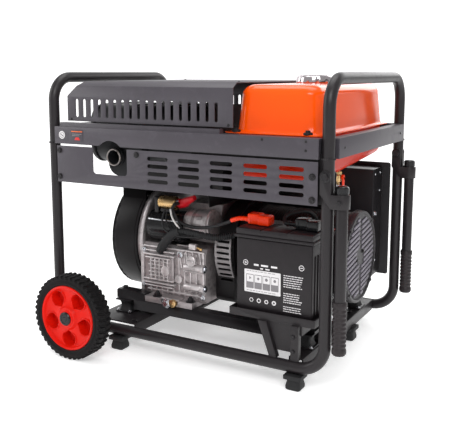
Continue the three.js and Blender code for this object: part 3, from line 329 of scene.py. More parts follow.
GREY_INK = printed("grey_ink", (0.2, 0.19, 0.2))
ORANGE_INK = printed("orange_ink", (0.7, 0.12, 0.02))
RED_INK = printed("red_ink", (0.6, 0.02, 0.02))


# ---------------------------------------------------------------- drawing in millimetres
def mesh_of(part, name="part"):
    """A mesh of a drawn part, which is used up."""
    mesh = bpy.data.meshes.new(name)
    part.to_mesh(mesh)
    part.free()
    return mesh


def merged(*parts):
    """One part of several, which are used up."""
    whole = bmesh.new()
    for part in parts:
        mesh = mesh_of(part)
        whole.from_mesh(mesh)
        bpy.data.meshes.remove(mesh)
    return whole


def linked(name, data):
    """A new object in the scene."""
    made = bpy.data.objects.new(name, data)
    bpy.context.scene.collection.objects.link(made)
    return made


def shifted(part, x=0, y=0, z=0):
    bmesh.ops.translate(part, verts=part.verts, vec=(x, y, z))
    return part


def rotated(part, axis, degrees, centre=(0, 0, 0)):
    turn = Matrix.Rotation(math.radians(degrees), 3, axis.upper())
    bmesh.ops.rotate(part, verts=part.verts, cent=centre, matrix=turn)
    return part


def softened(part, edge, segments=2, angle=30):
    """Rounds every edge that turns by more than the angle."""
    sharp = [e for e in part.edges if len(e.link_faces) == 2 and e.calc_face_angle() > math.radians(angle)]
    if edge > 0 and sharp:
        bmesh.ops.bevel(part, geom=sharp, offset=edge, segments=segments, profile=0.5, affect="EDGES",
                        clamp_overlap=True)
    return part


def block(x, y, z, edge=1.0, segments=2):
    """A rounded block between pairs of coordinates."""
    part = bmesh.new()
    bmesh.ops.create_cube(part, size=1)
    spans = [sorted(span) for span in (x, y, z)]
    for vertex in part.verts:
        vertex.co = [low + (c + 0.5) * (high - low) for c, (low, high) in zip(vertex.co, spans)]
    return softened(part, edge, segments)


def ring_points(axis, centre, along, radius, sides, start=0.0):
    """Points of a circle about a line along an axis; the centre holds the other two coordinates."""
    points = []
    for i in range(sides):
        angle = start + 2 * math.pi * i / sides
        a = centre[0] + radius * math.cos(angle)
        b = centre[1] + radius * math.sin(angle)
        points.append({"x": (along, a, b), "y": (a, along, b), "z": (a, b, along)}[axis])
    return points


def skinned(rings, closed=False, capped=True):
    """A skin over rings of points that have the same count."""
    part = bmesh.new()
    rows = [[part.verts.new(point) for point in ring] for ring in rings]
    count = len(rows[0])
    pairs = list(zip(rows, rows[1:])) + ([(rows[-1], rows[0])] if closed else [])
    for low, high in pairs:
        for i in range(count):
            j = (i + 1) % count
            part.faces.new((low[i], low[j], high[j], high[i]))
    if capped and not closed:
        part.faces.new(rows[0][::-1])
        part.faces.new(rows[-1])
    return facing_out(part)


def facing_out(part):
    bmesh.ops.recalc_face_normals(part, faces=part.faces)
    if part.calc_volume(signed=True) < 0:
        bmesh.ops.reverse_faces(part, faces=part.faces)
    return part


def turned(axis, centre, profile, sides=48, closed=False):
    """A solid of revolution from [along, radius] points. A closed profile makes a ring."""
    rings = [ring_points(axis, centre, along, max(radius, 0.01), sides) for along, radius in profile]
    return skinned(rings, closed)


def rod(axis, radius, span, centre, sides=40, edge=0.8):
    low, high = sorted(span)
    e = min(edge, radius * 0.4, (high - low) * 0.4)
    profile = [(low, radius - e), (low + 0.3 * e, radius - 0.3 * e), (low + e, radius)]
    profile += [(high - e, radius), (high - 0.3 * e, radius - 0.3 * e), (high, radius - e)]
    return turned(axis, centre, profile, sides)


def on_circle(centre, radius, degrees):
    angle = math.radians(degrees)
    return centre[0] + radius * math.cos(angle), centre[1] + radius * math.sin(angle)


def arc(centre, radius, start, stop, steps):
    """Points of an arc, from one angle to another in degrees."""
    return [on_circle(centre, radius, start + (stop - start) * i / steps) for i in range(steps + 1)]


def rounded(a, b, corner, steps=6):
    """A rounded rectangle's outline between two pairs of coordinates."""
    (a0, a1), (b0, b1) = sorted(a), sorted(b)
    corners = [((a1, b0), -90), ((a1, b1), 0), ((a0, b1), 90), ((a0, b0), 180)]
    outline = []
    for (ca, cb), start in corners:
        centre = (ca - corner if ca == a1 else ca + corner, cb - corner if cb == b1 else cb + corner)
        outline += arc(centre, corner, start, start + 90, steps)
    return outline


def plate(plane, span, outline, holes=(), edge=0.5):
    """A flat piece with rounded edges and holes, drawn on a plane and thick along the third axis."""
    low, high = sorted(span)
    curve = bpy.data.curves.new("plate", "CURVE")
    curve.dimensions = "2D"
    curve.fill_mode = "BOTH"
    curve.extrude = (high - low) / 2 - edge
    curve.bevel_depth = edge
    curve.bevel_resolution = 1
    curve.offset = -edge
    for ring in (outline, *holes):
        spline = curve.splines.new("POLY")
        spline.points.add(len(ring) - 1)
        for point, (a, b) in zip(spline.points, ring):
            point.co = (a, b, 0, 1)
        spline.use_cyclic_u = True
    drawn = bpy.data.objects.new("plate", curve)
    mesh = bpy.data.meshes.new_from_object(drawn)
    part = bmesh.new()
    part.from_mesh(mesh)
    bpy.data.objects.remove(drawn)
    bpy.data.curves.remove(curve)
    bpy.data.meshes.remove(mesh)
    bmesh.ops.remove_doubles(part, verts=part.verts, dist=0.002)
    middle = (low + high) / 2
    for vertex in part.verts:
        a, b, c = vertex.co
        vertex.co = {"xy": (a, b, middle + c), "xz": (a, middle + c, b), "yz": (middle + c, a, b)}[plane]
    return facing_out(part)


def filleted(points, radius, steps=10):
    """A route through corner points, with an arc at each inner corner."""
    corners = [Vector(p) for p in points]
    route = [corners[0]]
    for before, here, after in zip(corners, corners[1:], corners[2:]):
        back, ahead = (before - here).normalized(), (after - here).normalized()
        half = back.angle(ahead) / 2
        reach = radius / math.tan(half)
        centre = here + (back + ahead).normalized() * (radius / math.sin(half))
        first, last = here + back * reach - centre, here + ahead * reach - centre
        turn = first.rotation_difference(last)
        for i in range(steps + 1):
            route.append(centre + Matrix.Rotation(turn.angle * i / steps, 3, turn.axis) @ first)
    return route + [corners[-1]]


def smoothed(points, steps=8):
    """A Catmull-Rom curve through the points."""
    p = [Vector(q) for q in points]
    p = [2 * p[0] - p[1], *p, 2 * p[-1] - p[-2]]
    route = []
    for a, b, c, d in zip(p, p[1:], p[2:], p[3:]):
        for i in range(steps):
            t = i / steps
            route.append(0.5 * (2 * b + (c - a) * t + (2 * a - 5 * b + 4 * c - d) * t**2
                                + (3 * b - a - 3 * c + d) * t**3))
    return route + [p[-2]]


def swept(route, radius, sides=24):
    """A round bar along a route. The radius is one number, or a function of the distance along it."""
    rings = []
    ahead = (route[1] - route[0]).normalized()
    across = ahead.orthogonal().normalized()
    travelled = 0.0
    for i, point in enumerate(route):
        after = route[min(i + 1, len(route) - 1)]
        before = route[max(i - 1, 0)]
        direction = (after - before).normalized()
        across = (across - direction * across.dot(direction)).normalized()
        up = direction.cross(across)
        if i:
            travelled += (point - before).length
        r = radius(travelled) if callable(radius) else radius
        turns = [2 * math.pi * k / sides for k in range(sides)]
        rings.append([point + r * (across * math.cos(t) + up * math.sin(t)) for t in turns])
    return skinned(rings)


def hexagon(axis, radius, span, centre, edge=0.5):
    """A bolt head or nut, chamfered where the span ends."""
    start, end = span
    cut = 2 * edge
    sizes = [(start, radius), (end - math.copysign(cut, end - start), radius), (end, radius - cut)]
    return skinned([ring_points(axis, centre, along, r, 6) for along, r in sizes])


def split_by(axis, at):
    """A point's coordinate along an axis, and its other two."""
    k = AXES[axis]
    return at[k], [c for i, c in enumerate(at) if i != k]


def bolt(axis, side, at, radius, height=None):
    """A washer and a hexagon head that stands out of a face towards side along an axis."""
    base, centre = split_by(axis, at)
    washer = rod(axis, radius * 1.5, (base, base + side * 1.6), centre, 24, 0.4)
    start = base + side * 1.4
    return merged(washer, hexagon(axis, radius, (start, start + side * (height or radius * 0.75)), centre))


def mirrored_along(part, axis, middle):
    k = AXES[axis]
    for vertex in part.verts:
        vertex.co[k] = 2 * middle - vertex.co[k]
    bmesh.ops.reverse_faces(part, faces=part.faces)
    return part


def screw(axis, side, at, radius):
    """A low domed head."""
    base, centre = split_by(axis, at)
    dome = [(base + side * 0.55 * height, width) for width, height in arc((0, 0), radius, 0, 90, 5)]
    return turned(axis, centre, [(base - side * 0.5, radius), *dome], 20)


# ---------------------------------------------------------------- making pieces
def piece(name, body, *parts, replaces=(), crease=35):
    """One object of parts given as (mesh, material) pairs, drawn in millimetres."""
    materials = []
    for part, material in parts:
        if material not in materials:
            materials.append(material)
        for face in part.faces:
            face.material_index = materials.index(material)
    whole = merged(*[part for part, _ in parts])
    bmesh.ops.scale(whole, verts=whole.verts, vec=(MM, MM, MM))
    mesh = mesh_of(whole, name)
    for material in materials:
        mesh.materials.append(material)
    mesh.shade_smooth()
    mesh.set_sharp_from_angle(angle=math.radians(crease))
    made = linked(name, mesh)
    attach(made, body)
    if replaces:
        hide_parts(*replaces)


def drawn_from(node, edge=0.8, segments=2, angle=25):
    """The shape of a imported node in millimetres, with its corners softened."""
    part = bmesh.new()
    part.from_mesh(frame["nodes"][node].data)
    bmesh.ops.scale(part, verts=part.verts, vec=(1 / MM, 1 / MM, 1 / MM))
    bmesh.ops.remove_doubles(part, verts=part.verts, dist=0.005)
    bmesh.ops.dissolve_limit(part, angle_limit=math.radians(0.5), verts=part.verts, edges=part.edges)
    softened(part, edge, segments, angle)
    return part


def carved(part, *cutters):
    """A part with the cutters taken away."""
    target = linked("shape", mesh_of(part))
    tool = linked("shape", mesh_of(merged(*[facing_out(cutter) for cutter in cutters])))
    cut = target.modifiers.new("cut", "BOOLEAN")
    cut.operation, cut.solver, cut.object = "DIFFERENCE", "EXACT", tool
    cut.use_self = True
    shape = bpy.data.meshes.new_from_object(target.evaluated_get(bpy.context.evaluated_depsgraph_get()))
    result = bmesh.new()
    result.from_mesh(shape)
    for used in (target, tool):
        bpy.data.objects.remove(used)
    bpy.data.meshes.remove(shape)
    return result


# ---------------------------------------------------------------- frame
HOOP_BEND = 60
TUBE_RADIUS = 13.45


def hoop(end, name):
    """One bent tube: along the floor, up, across the top, down and back along the floor."""
    b = place(name)
    radius = TUBE_RADIUS
    x = b.x0 + radius if end < 0 else b.x1 - radius
    seam = b.x1 if end < 0 else b.x0
    y, low, high = b.y1 - radius, b.z0 + radius, b.z1 - radius
    corners = [(seam, -y, low), (x, -y, low), (x, -y, high), (x, y, high), (x, y, low), (seam, y, low)]
    tube = swept(filleted(corners, HOOP_BEND, 14), radius, 32)
    welds = [weld_bead(x, side * y, place("upper_rails").z0, radius) for side in (NEAR, FAR)]
    piece(name + "_tube", "root", (merged(tube, *welds), PAINT), replaces=[name])


def weld_bead(x, y, z, radius):
    """Overlapping drops of a fillet weld round an upright."""
    return merged(*[rod("z", 2.6, (z - 1.5, z + 2.5), on_circle((x, y), radius, 18 * i), 8, 1.0)
                    for i in range(20)])


def upper_rails():
    b = place("upper_rails")
    piece("rail_ring", "root", (drawn_from("upper_rails", 0.7), SHEET_PAINT), replaces=["upper_rails"])
    heads = [screw("y", NEAR, (x, b.y0, z), 3.2) for x, z in
             [(b.x1 - 164, b.z0 + 36), (b.x1 - 62, b.z0 + 36), (b.x1 - 62, b.z0 + 17)]]
    heads += [screw("x", FAR, (b.x1, y, b.z0 + 21), 3.4) for y in (-208, 208)]
    heads += [bolt("y", FAR, (x, b.y1, b.z0 + 21), 5) for x in (-300, 0, 280)]
    piece("rail_screws", "root", *[(head, BLACK_PAINT) for head in heads])


def rail_badge():
    """A round disc and a small printed plate, with plain marks in place of the maker's."""
    b = place("upper_rails")
    y = b.y0
    disc_x, mid = b.x0 + 58, b.z0 + 22
    disc = rod("y", 10, (y, y - 0.8), (disc_x, mid), 36, 0.3)
    ring = carved(rod("y", 7.4, (y - 0.6, y - 1.0), (disc_x, mid), 32, 0.1),
                  rod("y", 6.2, (y - 0.2, y - 1.4), (disc_x, mid), 32, 0.1))
    swoosh = rotated(block((disc_x - 5, disc_x + 5), (y - 0.6, y - 1.1), (mid - 1.4, mid + 1.4), 0.3), "y",
                     35, (disc_x, y, mid))
    x0 = disc_x + 24
    card = plate("xz", (y - 0.7, y), rounded((x0, x0 + 44), (mid - 15, mid + 15), 2), edge=0.15)
    line = block((x0 + 7, x0 + 43), (y - 0.6, y - 1.0), (mid + 9, mid + 11.5), 0.1)
    rows = [block((x0 + 10, x0 + 40 - 6 * k), (y - 0.6, y - 0.95), (mid + 3 - 4 * k, mid + 4.6 - 4 * k), 0.1)
            for k in range(2)]
    mark = plate("xz", (y - 1.0, y - 0.5), [(x0 + 17, mid - 11), (x0 + 35, mid - 11), (x0 + 31, mid - 4),
                                            (x0 + 21, mid - 4)], edge=0.1)
    piece("rail_badge", "root", (disc, WHITE_INK), (ring, GREY_INK), (swoosh, GREY_INK), (card, SHEET_PAINT),
          (line, ORANGE_INK), (mark, RED_INK), *[(row, GREY_INK) for row in rows])


def cross_members():
    for name in ("left_cross_member", "right_cross_member"):
        piece(name + "_channel", "root", (drawn_from(name, 1.0), PAINT), replaces=[name])
    b = place("left_cross_member")
    bolts = [bolt("z", FAR, (x, y, b.z1), 6) for x in (b.x0 + 14, b.x1 - 14) for y in (-228, 228)]
    right = place("right_cross_member")
    bolts += [bolt("z", FAR, (right.x, y, right.z1), 6) for y in (-110, 110)]
    piece("cross_member_bolts", "root", *[(b, BLACK_PAINT) for b in bolts])


def cushion(b, corner, levels):
    """A rubber block whose sides follow insets given at heights above the box's floor."""
    rings = []
    for height, inset in levels:
        outline = rounded((b.x0 + inset, b.x1 - inset), (b.y0 + inset, b.y1 - inset), corner, 4)
        rings.append([(x, y, b.z0 + height) for x, y in outline])
    return skinned(rings)


def rubber_foot(name):
    """A block with a waist, under a square cap."""
    b = place(name)
    pad = cushion(b, 6, [(0.0, 4.6), (2.0, 3.2), (8.0, 3.0), (b.z1 - 12, 6.2), (b.z1 - 10.5, 6.2)])
    cap = block((b.x0, b.x1), (b.y0, b.y1), (b.z1 - 10.4, b.z1), 1.6)
    piece(name + "_rubber", "root", (pad, RUBBER), (cap, RUBBER), replaces=[name])


def isolator(name):
    """Rubber bonded between two steel plates, with two bolts."""
    b = place(name)
    low, high = (block((b.x0, b.x1), (b.y0, b.y1), span, 0.8) for span in
                 ((b.z0, b.z0 + 3.5), (b.z1 - 3.5, b.z1)))
    tall = b.z1 - b.z0 - 6.4
    rubber = cushion(b, 7, [(3.2 + tall * t, 5 + 4 * math.sin(math.pi * t))
                            for t in (i / 8 for i in range(9))])
    bolts = [bolt("z", FAR, (x, b.y0 + 5.5, b.z0 + 3.4), 3.4, 3) for x in (b.x0 + 5.5, b.x1 - 5.5)]
    piece(name + "_mount", "root", (low, BLACK_PAINT), (high, BLACK_PAINT), (rubber, RUBBER),
          (merged(*bolts), PLATE_STEEL), replaces=[name])


def subframe():
    piece("subframe_rails", "root", (drawn_from("engine_subframe", 1.2), BLACK_PAINT),
          replaces=["engine_subframe"])
    b = place("engine_subframe")
    ends = [v.co.z for v in frame["nodes"]["engine_subframe"].data.vertices if v.co.x < (b.x0 + 10) * MM]
    top, rails = max(ends) / MM, (NEAR * 164, FAR * 164)
    bolts = [bolt("z", FAR, (b.x0 + 18, y, top + 2), 7) for y in rails]
    plates = [block((b.x0 + 2, b.x0 + 62), (y - 13, y + 13), (top - 0.5, top + 2.5), 0.8) for y in rails]
    piece("subframe_bolts", "root", (merged(*bolts, *plates), BLACK_PAINT))


# ---------------------------------------------------------------- sheet metal
def slot_outline(x, z, wide, tall):
    """A slot with round ends."""
    return rounded((x - wide / 2, x + wide / 2), (z - tall / 2, z + tall / 2), min(wide, tall) / 2 - 0.05, 8)


def side_panel():
    """The louvred sheet under the near rail, notched for the exhaust outlet."""
    b = place("side_panel")
    left, right, low = b.x0 + 116, b.x0 + 220, b.z0 + 28
    notch = [(right, b.z1), *[(x, z) for x, z in arc((right - 9, low + 9), 9, 0, -90, 6)],
             *arc((left + 9, low + 9), 9, -90, -180, 6), (left, b.z1)]
    outline = [(b.x0, b.z0), (b.x1, b.z0), (b.x1, b.z1), *notch, (b.x0, b.z1)]
    columns, rows = [b.x0 + 309 + 85.7 * i for i in range(5)], [b.z0 + 21 + 18 * i for i in range(4)]
    slots = [slot_outline(x, z, 58, 9.6) for x in columns for z in rows]
    sheet = plate("xz", (b.y0, b.y1), outline, slots, edge=0.35)
    stays = [block((b.x0 + 400, b.x1 - 2), (b.y1 + 4, b.y1 + 6), (b.z1 - 3, b.z1 + 16), 0.6),
             block((b.x1 - 16, b.x1 + 16), (b.y1 + 8, b.y1 + 10), (b.z0 + 2, b.z1 + 16), 0.6)]
    piece("louvred_panel", "root", (sheet, SHEET_PAINT), (merged(*stays), FAN_PAINT), replaces=["side_panel"])
    spots = [(b.x0 + 9, b.z1 - 12), (b.x0 + 8, b.z0 + 14), (b.x0 + 249, b.z1 - 11), (b.x1 - 12, b.z0 + 61),
             (b.x1 - 12, b.z0 + 12)]
    piece("panel_bolts", "root", *[(bolt("y", NEAR, (x, b.y0, z), 5.2, 3.4), BLACK_PAINT) for x, z in spots])


def heat_shield():
    """Two slotted sides, a slanted fold along each, a flat top, and a cut-off corner."""
    b = place("heat_shield")
    fold, run, rise, sheet = 12, 46, 37, 2
    low_corner = b.z1 - rise
    side_top = b.z1 - fold
    start = b.x0 + run * (side_top - low_corner) / rise
    outline = [(b.x0, b.z0), (b.x1, b.z0), (b.x1, side_top), (start, side_top), (b.x0, low_corner)]
    count, first, pitch = 18, b.x0 + 31, 23.8
    slots = [slot_outline(first + pitch * i, b.z0 + 33, 8.4, 45) for i in range(count)]
    sides = [plate("xz", (side * b.y1, side * (b.y1 - sheet)), outline, slots, edge=0.35)
             for side in (NEAR, FAR)]
    y, z = b.y1, b.z1
    over = [(-y, side_top), (-y + 18, z), (y - 18, z), (y, side_top)]
    under = [(y - sheet, side_top), (y - 18.6, z - sheet), (-y + 18.6, z - sheet), (-y + sheet, side_top)]
    top = plate("yz", (b.x0, b.x1), over + under, edge=0.3)
    wedge = [(b.x0 - 5, low_corner - 4), (b.x0 + run, z), (b.x0 + run, z + 9), (b.x0 - 5, z + 9)]
    top = carved(top, plate("xz", (-y - 9, y + 9), wedge, edge=0.05))
    piece("shield_sheet", "root", *[(part, SHEET_PAINT) for part in (*sides, top)], replaces=["heat_shield"])
    spots = [(x, side) for x in (b.x0 + 12, b.x1 - 12) for side in (NEAR, FAR)]
    heads = [screw("y", side, (x, side * b.y1, b.z0 + 5), 3.4) for x, side in spots]
    heads += [screw("z", FAR, (x, y, b.z1), 3.6) for x in (b.x0 + 70, b.x1 - 20) for y in (-190, 190)]
    piece("shield_screws", "root", *[(head, BLACK_PAINT) for head in heads])


# ---------------------------------------------------------------- tank
TANK_CORNER = 34
FLANGE_Z, FLANGE_THICK = 558.3, 3
NECK = place("fuel_cap")


def tank_level(b, inset, z, corner):
    """A rounded rectangle round the tank, at one height or at a height that depends on Y."""
    x, half = (b.x0 + 22 + inset, b.x1 - 10 - inset), b.y1 - 14 - inset
    return [(a, y, z(y) if callable(z) else z) for a, y in rounded(x, (-half, half), corner, 8)]


def tank_shell(b, top, flange_z):
    """The dome above the flange: upright sides, a round shoulder and a crowned top."""
    rings = []
    shoulder = 24
    rise = top - shoulder - flange_z
    for t in (0.0, 0.04, 0.1, 0.3, 0.6, 0.85, 1.0):
        foot = 5 * (1 - min(t / 0.1, 1)) ** 2
        rings.append(tank_level(b, 7 * t - foot, flange_z + rise * t, TANK_CORNER))
    for step in range(1, 9):
        angle = math.radians(90 * step / 8)
        inset = 7 + shoulder * (1 - math.cos(angle))
        z = top - shoulder + shoulder * math.sin(angle) - 2.2 * (1 - step / 8)
        rings.append(tank_level(b, inset, z, max(TANK_CORNER - inset * 0.35, 14)))
    rings.append(tank_level(b, 60, top + 1.2, 20))
    rings.append(tank_level(b, 90, top + 1.8, 12))
    return skinned(rings)


def tank_belly(b, flange_z):
    """The half below the flange, whose floor slopes down to the valve."""
    low = b.z0

    def floor(y):
        return low + 16 + 0.07 * y

    rings = [tank_level(b, 60, floor, 12), tank_level(b, 22, floor, 20)]
    for step in range(1, 7):
        angle = math.radians(90 * step / 6)
        lift = 18 * (1 - math.cos(angle))
        rings.append(tank_level(b, 22 - 18 * math.sin(angle), lambda y, k=lift: floor(y) + k, 24))
    rings.append(tank_level(b, 1, flange_z, TANK_CORNER))
    return skinned(rings)


def fuel_tank():
    b = place("fuel_tank")
    top = place("fuel_cap").z0 - 0.5
    flange = plate("xy", (FLANGE_Z, FLANGE_Z + FLANGE_THICK), rounded((b.x0, b.x1), (b.y0, b.y1), 20, 6),
                   edge=0.8)
    seam = tank_level(b, -6, 0, TANK_CORNER)
    crimp = plate("xy", (FLANGE_Z + 2, FLANGE_Z + 4.2), [(x, y) for x, y, _ in seam], edge=0.9)
    neck = turned("z", (NECK.x, NECK.y), [(top - 8, 46), (top - 2, 44), (top + 0.2, 38), (top + 0.2, 20)], 48)
    # The half below the flange takes the darker enamel, which is painted shade.
    piece("tank_shell", "root", (tank_shell(b, top, FLANGE_Z + 2), ORANGE),
          (tank_belly(b, FLANGE_Z + 1), SHADED_BELLY), (flange, ORANGE), (crimp, ORANGE), (neck, ORANGE),
          replaces=["fuel_tank"], crease=50)
    spots = [(x, side * (b.y1 - 8)) for x in (b.x0 + 34, b.x1 - 34) for side in (NEAR, FAR)]
    pads = [rod("z", 10.5, (FLANGE_Z + 2.6, FLANGE_Z + 7), spot, 28, 1.5) for spot in spots]
    bolts = [bolt("z", FAR, (*spot, FLANGE_Z + 6.6), 6.2) for spot in spots]
    piece("tank_bolts", "root", (merged(*pads), RUBBER), (merged(*bolts), BLACK_PAINT))


def fuel_cap():
    """A pressed and chromed cap: a scalloped rim, a dished crown and round dimples."""
    b = place("fuel_cap")
    radius = b.x1 - b.x
    tall = b.z1 - b.z0
    rings = []
    sections = [(0, 0.93, 0), (1, 0.97, 0.5), (3, 1.0, 1), (tall - 8, 0.99, 1), (tall - 4, 0.95, 0.6),
                (tall - 1.4, 0.86, 0), (tall, 0.78, 0), (tall - 0.3, 0.66, 0), (tall - 3.2, 0.58, 0),
                (tall - 3.6, 0.3, 0), (tall - 3.4, 0.02, 0)]
    for z, share, scallop in sections:
        ring = []
        for i in range(120):
            angle = 2 * math.pi * i / 120
            wave = 1 - 0.035 * scallop * max(0.0, math.cos(12 * angle)) ** 2
            r = radius * share * wave
            ring.append((b.x + r * math.cos(angle), b.y + r * math.sin(angle), b.z0 + z))
        rings.append(ring)
    crown = skinned(rings)
    dimples = [rod("z", 3.4, (b.z1 - 0.8, b.z1 + 0.5), on_circle((b.x, b.y), radius * 0.72, 30 * i + 15), 16,
                   0.4) for i in range(12)]
    bar = block((b.x - 18, b.x + 18), (b.y - 3.4, b.y + 3.4), (b.z1 - 4, b.z1 - 0.8), 1.2)
    piece("filler_cap", "tank_cap", (crown, CHROME), *[(d, CHROME) for d in dimples], (bar, CHROME),
          replaces=["fuel_cap"], crease=30)


def fuel_valve():
    b = place("fuel_valve")
    c = (b.x, b.y)
    body = [(b.z0, 2.8), (b.z0 + 1, 3.6), (b.z0 + 4, 3.2), (b.z0 + 5, 3.8), (b.z0 + 9, 3.2), (b.z0 + 10, 3.9),
            (b.z0 + 14, 3.6), (b.z0 + 15, 7.5), (b.z0 + 22, 8.5), (b.z0 + 30, 8.5), (b.z1 - 7, 6.0)]
    nut = hexagon("z", 9, (b.z1 - 7.5, b.z1), c)
    clip = rod("z", 5.2, (b.z0 + 3, b.z0 + 7), c, 24, 0.5)
    piece("tank_valve", "root", (turned("z", c, body, 28), BRASS), (nut, BRASS), (clip, PLATE_STEEL),
          replaces=["fuel_valve"])
    lever = place("fuel_valve_lever")
    hub = rod("x", 6, (lever.x0, lever.x1), (lever.y, lever.z1 - 6), 24, 0.8)
    tab = plate("yz", (lever.x0 + 1.6, lever.x1),
                rounded((lever.y - 4, lever.y + 4), (lever.z0, lever.z1 - 4), 3.4), edge=0.7)
    piece("valve_handle", "valve_lever", (hub, RED_PLASTIC), (tab, RED_PLASTIC),
          replaces=["fuel_valve_lever"])


# ---------------------------------------------------------------- wheels
TREAD_BLOCKS, POCKETS = 44, 5


def wheel(side_name, side):
    """A solid tyre with a block tread on a red rim with five teardrop pockets."""
    b = place("tyre_" + side_name)
    centre = (b.x, b.z)
    radius = b.x1 - b.x
    y_out, y_in = (b.y0, b.y1) if side == NEAR else (b.y1, b.y0)
    half = abs(y_out - y_in) / 2

    def across(depth):
        return b.y + side * depth

    bead = 80.6
    profile = [(-half + 3, bead), (-half, bead + 5), (-half, radius - 10), (-half + 3, radius - 4.5),
               (-half + 9, radius - 2.4), (half - 9, radius - 2.4), (half - 3, radius - 4.5),
               (half, radius - 10), (half, bead + 5), (half - 3, bead)]
    carcass = turned("y", centre, [(across(d), r) for d, r in profile], 96, closed=True)
    blocks = [tread_block(b, centre, radius, half, i) for i in range(TREAD_BLOCKS)]
    rings = [rod_ring(centre, across(half), r, 0.9) for r in (bead + 7, radius - 14)]
    piece("tyre_with_tread_" + side_name, side_name + "_wheel", (carcass, TYRE), (merged(*blocks), TYRE),
          (merged(*rings), TYRE), replaces=["tyre_" + side_name])
    rim(side_name, centre, across)


def rod_ring(centre, y, radius, thick):
    """A fine raised ring on a flat side."""
    section = [(y - thick, radius - thick), (y - thick, radius + thick), (y + thick, radius + thick),
               (y + thick, radius - thick)]
    return turned("y", centre, section, 72, closed=True)


def tread_block(b, centre, radius, half, index):
    """A slanted shoulder block and its opposite, one pitch of the tread."""
    parts = []
    for end in (NEAR, FAR):
        lug = block((radius - 7, radius), (end * 2.5, end * (half - 2)), (-3.9, 3.9), 1.2, 1)
        rotated(lug, "x", end * 12)
        shoulder = block((radius - 15, radius - 4), (end * (half - 5), end * (half - 0.2)), (-3.6, 3.6), 1.2,
                         1)
        parts += [lug, shoulder]
    pitch = merged(*parts)
    rotated(pitch, "y", 360 * index / TREAD_BLOCKS)
    return shifted(pitch, centre[0], b.y, centre[1])


def rim(side_name, centre, across):
    """A dish with pockets through it, its hub and the cap over the hub."""
    half = 25
    section = [(-half, 8.6), (-half, 22), (-15, 25), (-15, 70), (-19, 79), (-17, 80.2), (17, 80.2),
               (21, 79.4), (22.4, 77), (21, 74), (15, 71), (13, 66), (14, 40), (17, 30), (half - 2, 26),
               (half - 1, 8.6)]
    disc = turned("y", centre, [(across(d), r) for d, r in section], 72, closed=True)
    dish = carved(disc, *[pocket(centre, across, i) for i in range(POCKETS)])
    lips = [pocket_lip(centre, across, i) for i in range(POCKETS)]
    hub = turned("y", centre, [(across(12), 23), (across(24), 21), (across(25), 19.5), (across(25), 8.6),
                               (across(12), 8.6)], 40, closed=True)
    piece("rim_dish_" + side_name, side_name + "_wheel", (dish, RED_RIM), (hub, RED_RIM),
          *[(lip, RED_RIM) for lip in lips], replaces=["rim_" + side_name])
    cap = turned("y", centre, [(across(24.6), 16.4), (across(27.6), 16.6), (across(29.4), 15),
                               (across(30), 11.5), (across(28.6), 10.6), (across(28.6), 6), (across(30), 5),
                               (across(30), 0)], 40)
    piece("hub_cap_" + side_name, side_name + "_wheel", (cap, SHINY_PLASTIC))


def pocket_outline(grow=0.0):
    """A drop with its point towards the hub, about a centre 52.5 from the axle."""
    wide, tip = 20 + grow, 30 - grow
    return arc((52.5, 0), wide, -118, 118, 18) + [(tip + 2.5, 3.2), (tip, 0), (tip + 2.5, -3.2)]


def set_in_rim(part, centre, across, index):
    """Turns a part to its pocket and faces it outward."""
    rotated(part, "y", -(54 + 360 / POCKETS * index))
    if across(1) < across(0):
        mirrored_along(part, "y", 0)
    return shifted(part, centre[0], across(0), centre[1])


def pocket(centre, across, index):
    """The cutter for one pocket."""
    return set_in_rim(plate("xz", (-12, 60), pocket_outline(), edge=0.2), centre, across, index)


def pocket_lip(centre, across, index):
    """A raised rounded edge round a pocket."""
    points = [Vector((a, 14.2, b)) for a, b in pocket_outline(1.6)]
    return set_in_rim(swept(points + points[:2], 1.7, 8), centre, across, index)


def wheel_bracket(side_name, side):
    name = "wheel_bracket_" + side_name
    b = place(name)
    bracket = drawn_from(name, 0.9)
    outer = b.y0 if side == NEAR else b.y1
    centre = (place("tyre_" + side_name).x, place("tyre_" + side_name).z)
    washer = rod("y", 13, (outer - side * 36, outer - side * 34), centre, 32, 0.5)
    piece(name + "_steel", "root", (bracket, PAINT), (washer, PLATE_STEEL), replaces=[name])


# ---------------------------------------------------------------- handles
def fold_handle(side_name, side):
    """A bracket of two cheeks on the upright's bolt, a hanging tube with its cap and a ribbed grip."""
    name, body = "handle_" + side_name, side_name + "_handle"
    b = place(name)
    steel = drawn_from(name, 0.6)
    tube_x = place("grip_" + side_name).x
    tube = rod("z", 12.75, (b.z0 + 1, b.z0 + 356), (tube_x, b.y), 40, 0.8)
    top = b.z0 + 357
    cap = turned("z", (tube_x, b.y), [(top - 14, 14.2), (top - 3, 14.4), (top, 12.5), (top + 1.6, 8),
                                      (top + 2, 0)], 40)
    pivot = pivot_of(side_name + "_handle_fold")
    parts = [(steel, PAINT), (tube, PAINT), (cap, SHINY_PLASTIC)]
    for face in (NEAR, FAR):
        at = (pivot.x, b.y + face * (b.y1 - b.y - 0.2), pivot.z)
        parts.append((bolt("y", face, at, 8.2, 6), BLACK_PAINT))
    parts.append((bolt("y", side, (tube_x, b.y + side * 16, top - 32), 4.2, 3), BLACK_PAINT))
    piece(name + "_bracket", body, *parts, replaces=[name])
    grip(side_name, body, tube_x, b.y)


GRIP_WAVES = 10
WAVE_STEPS = 8


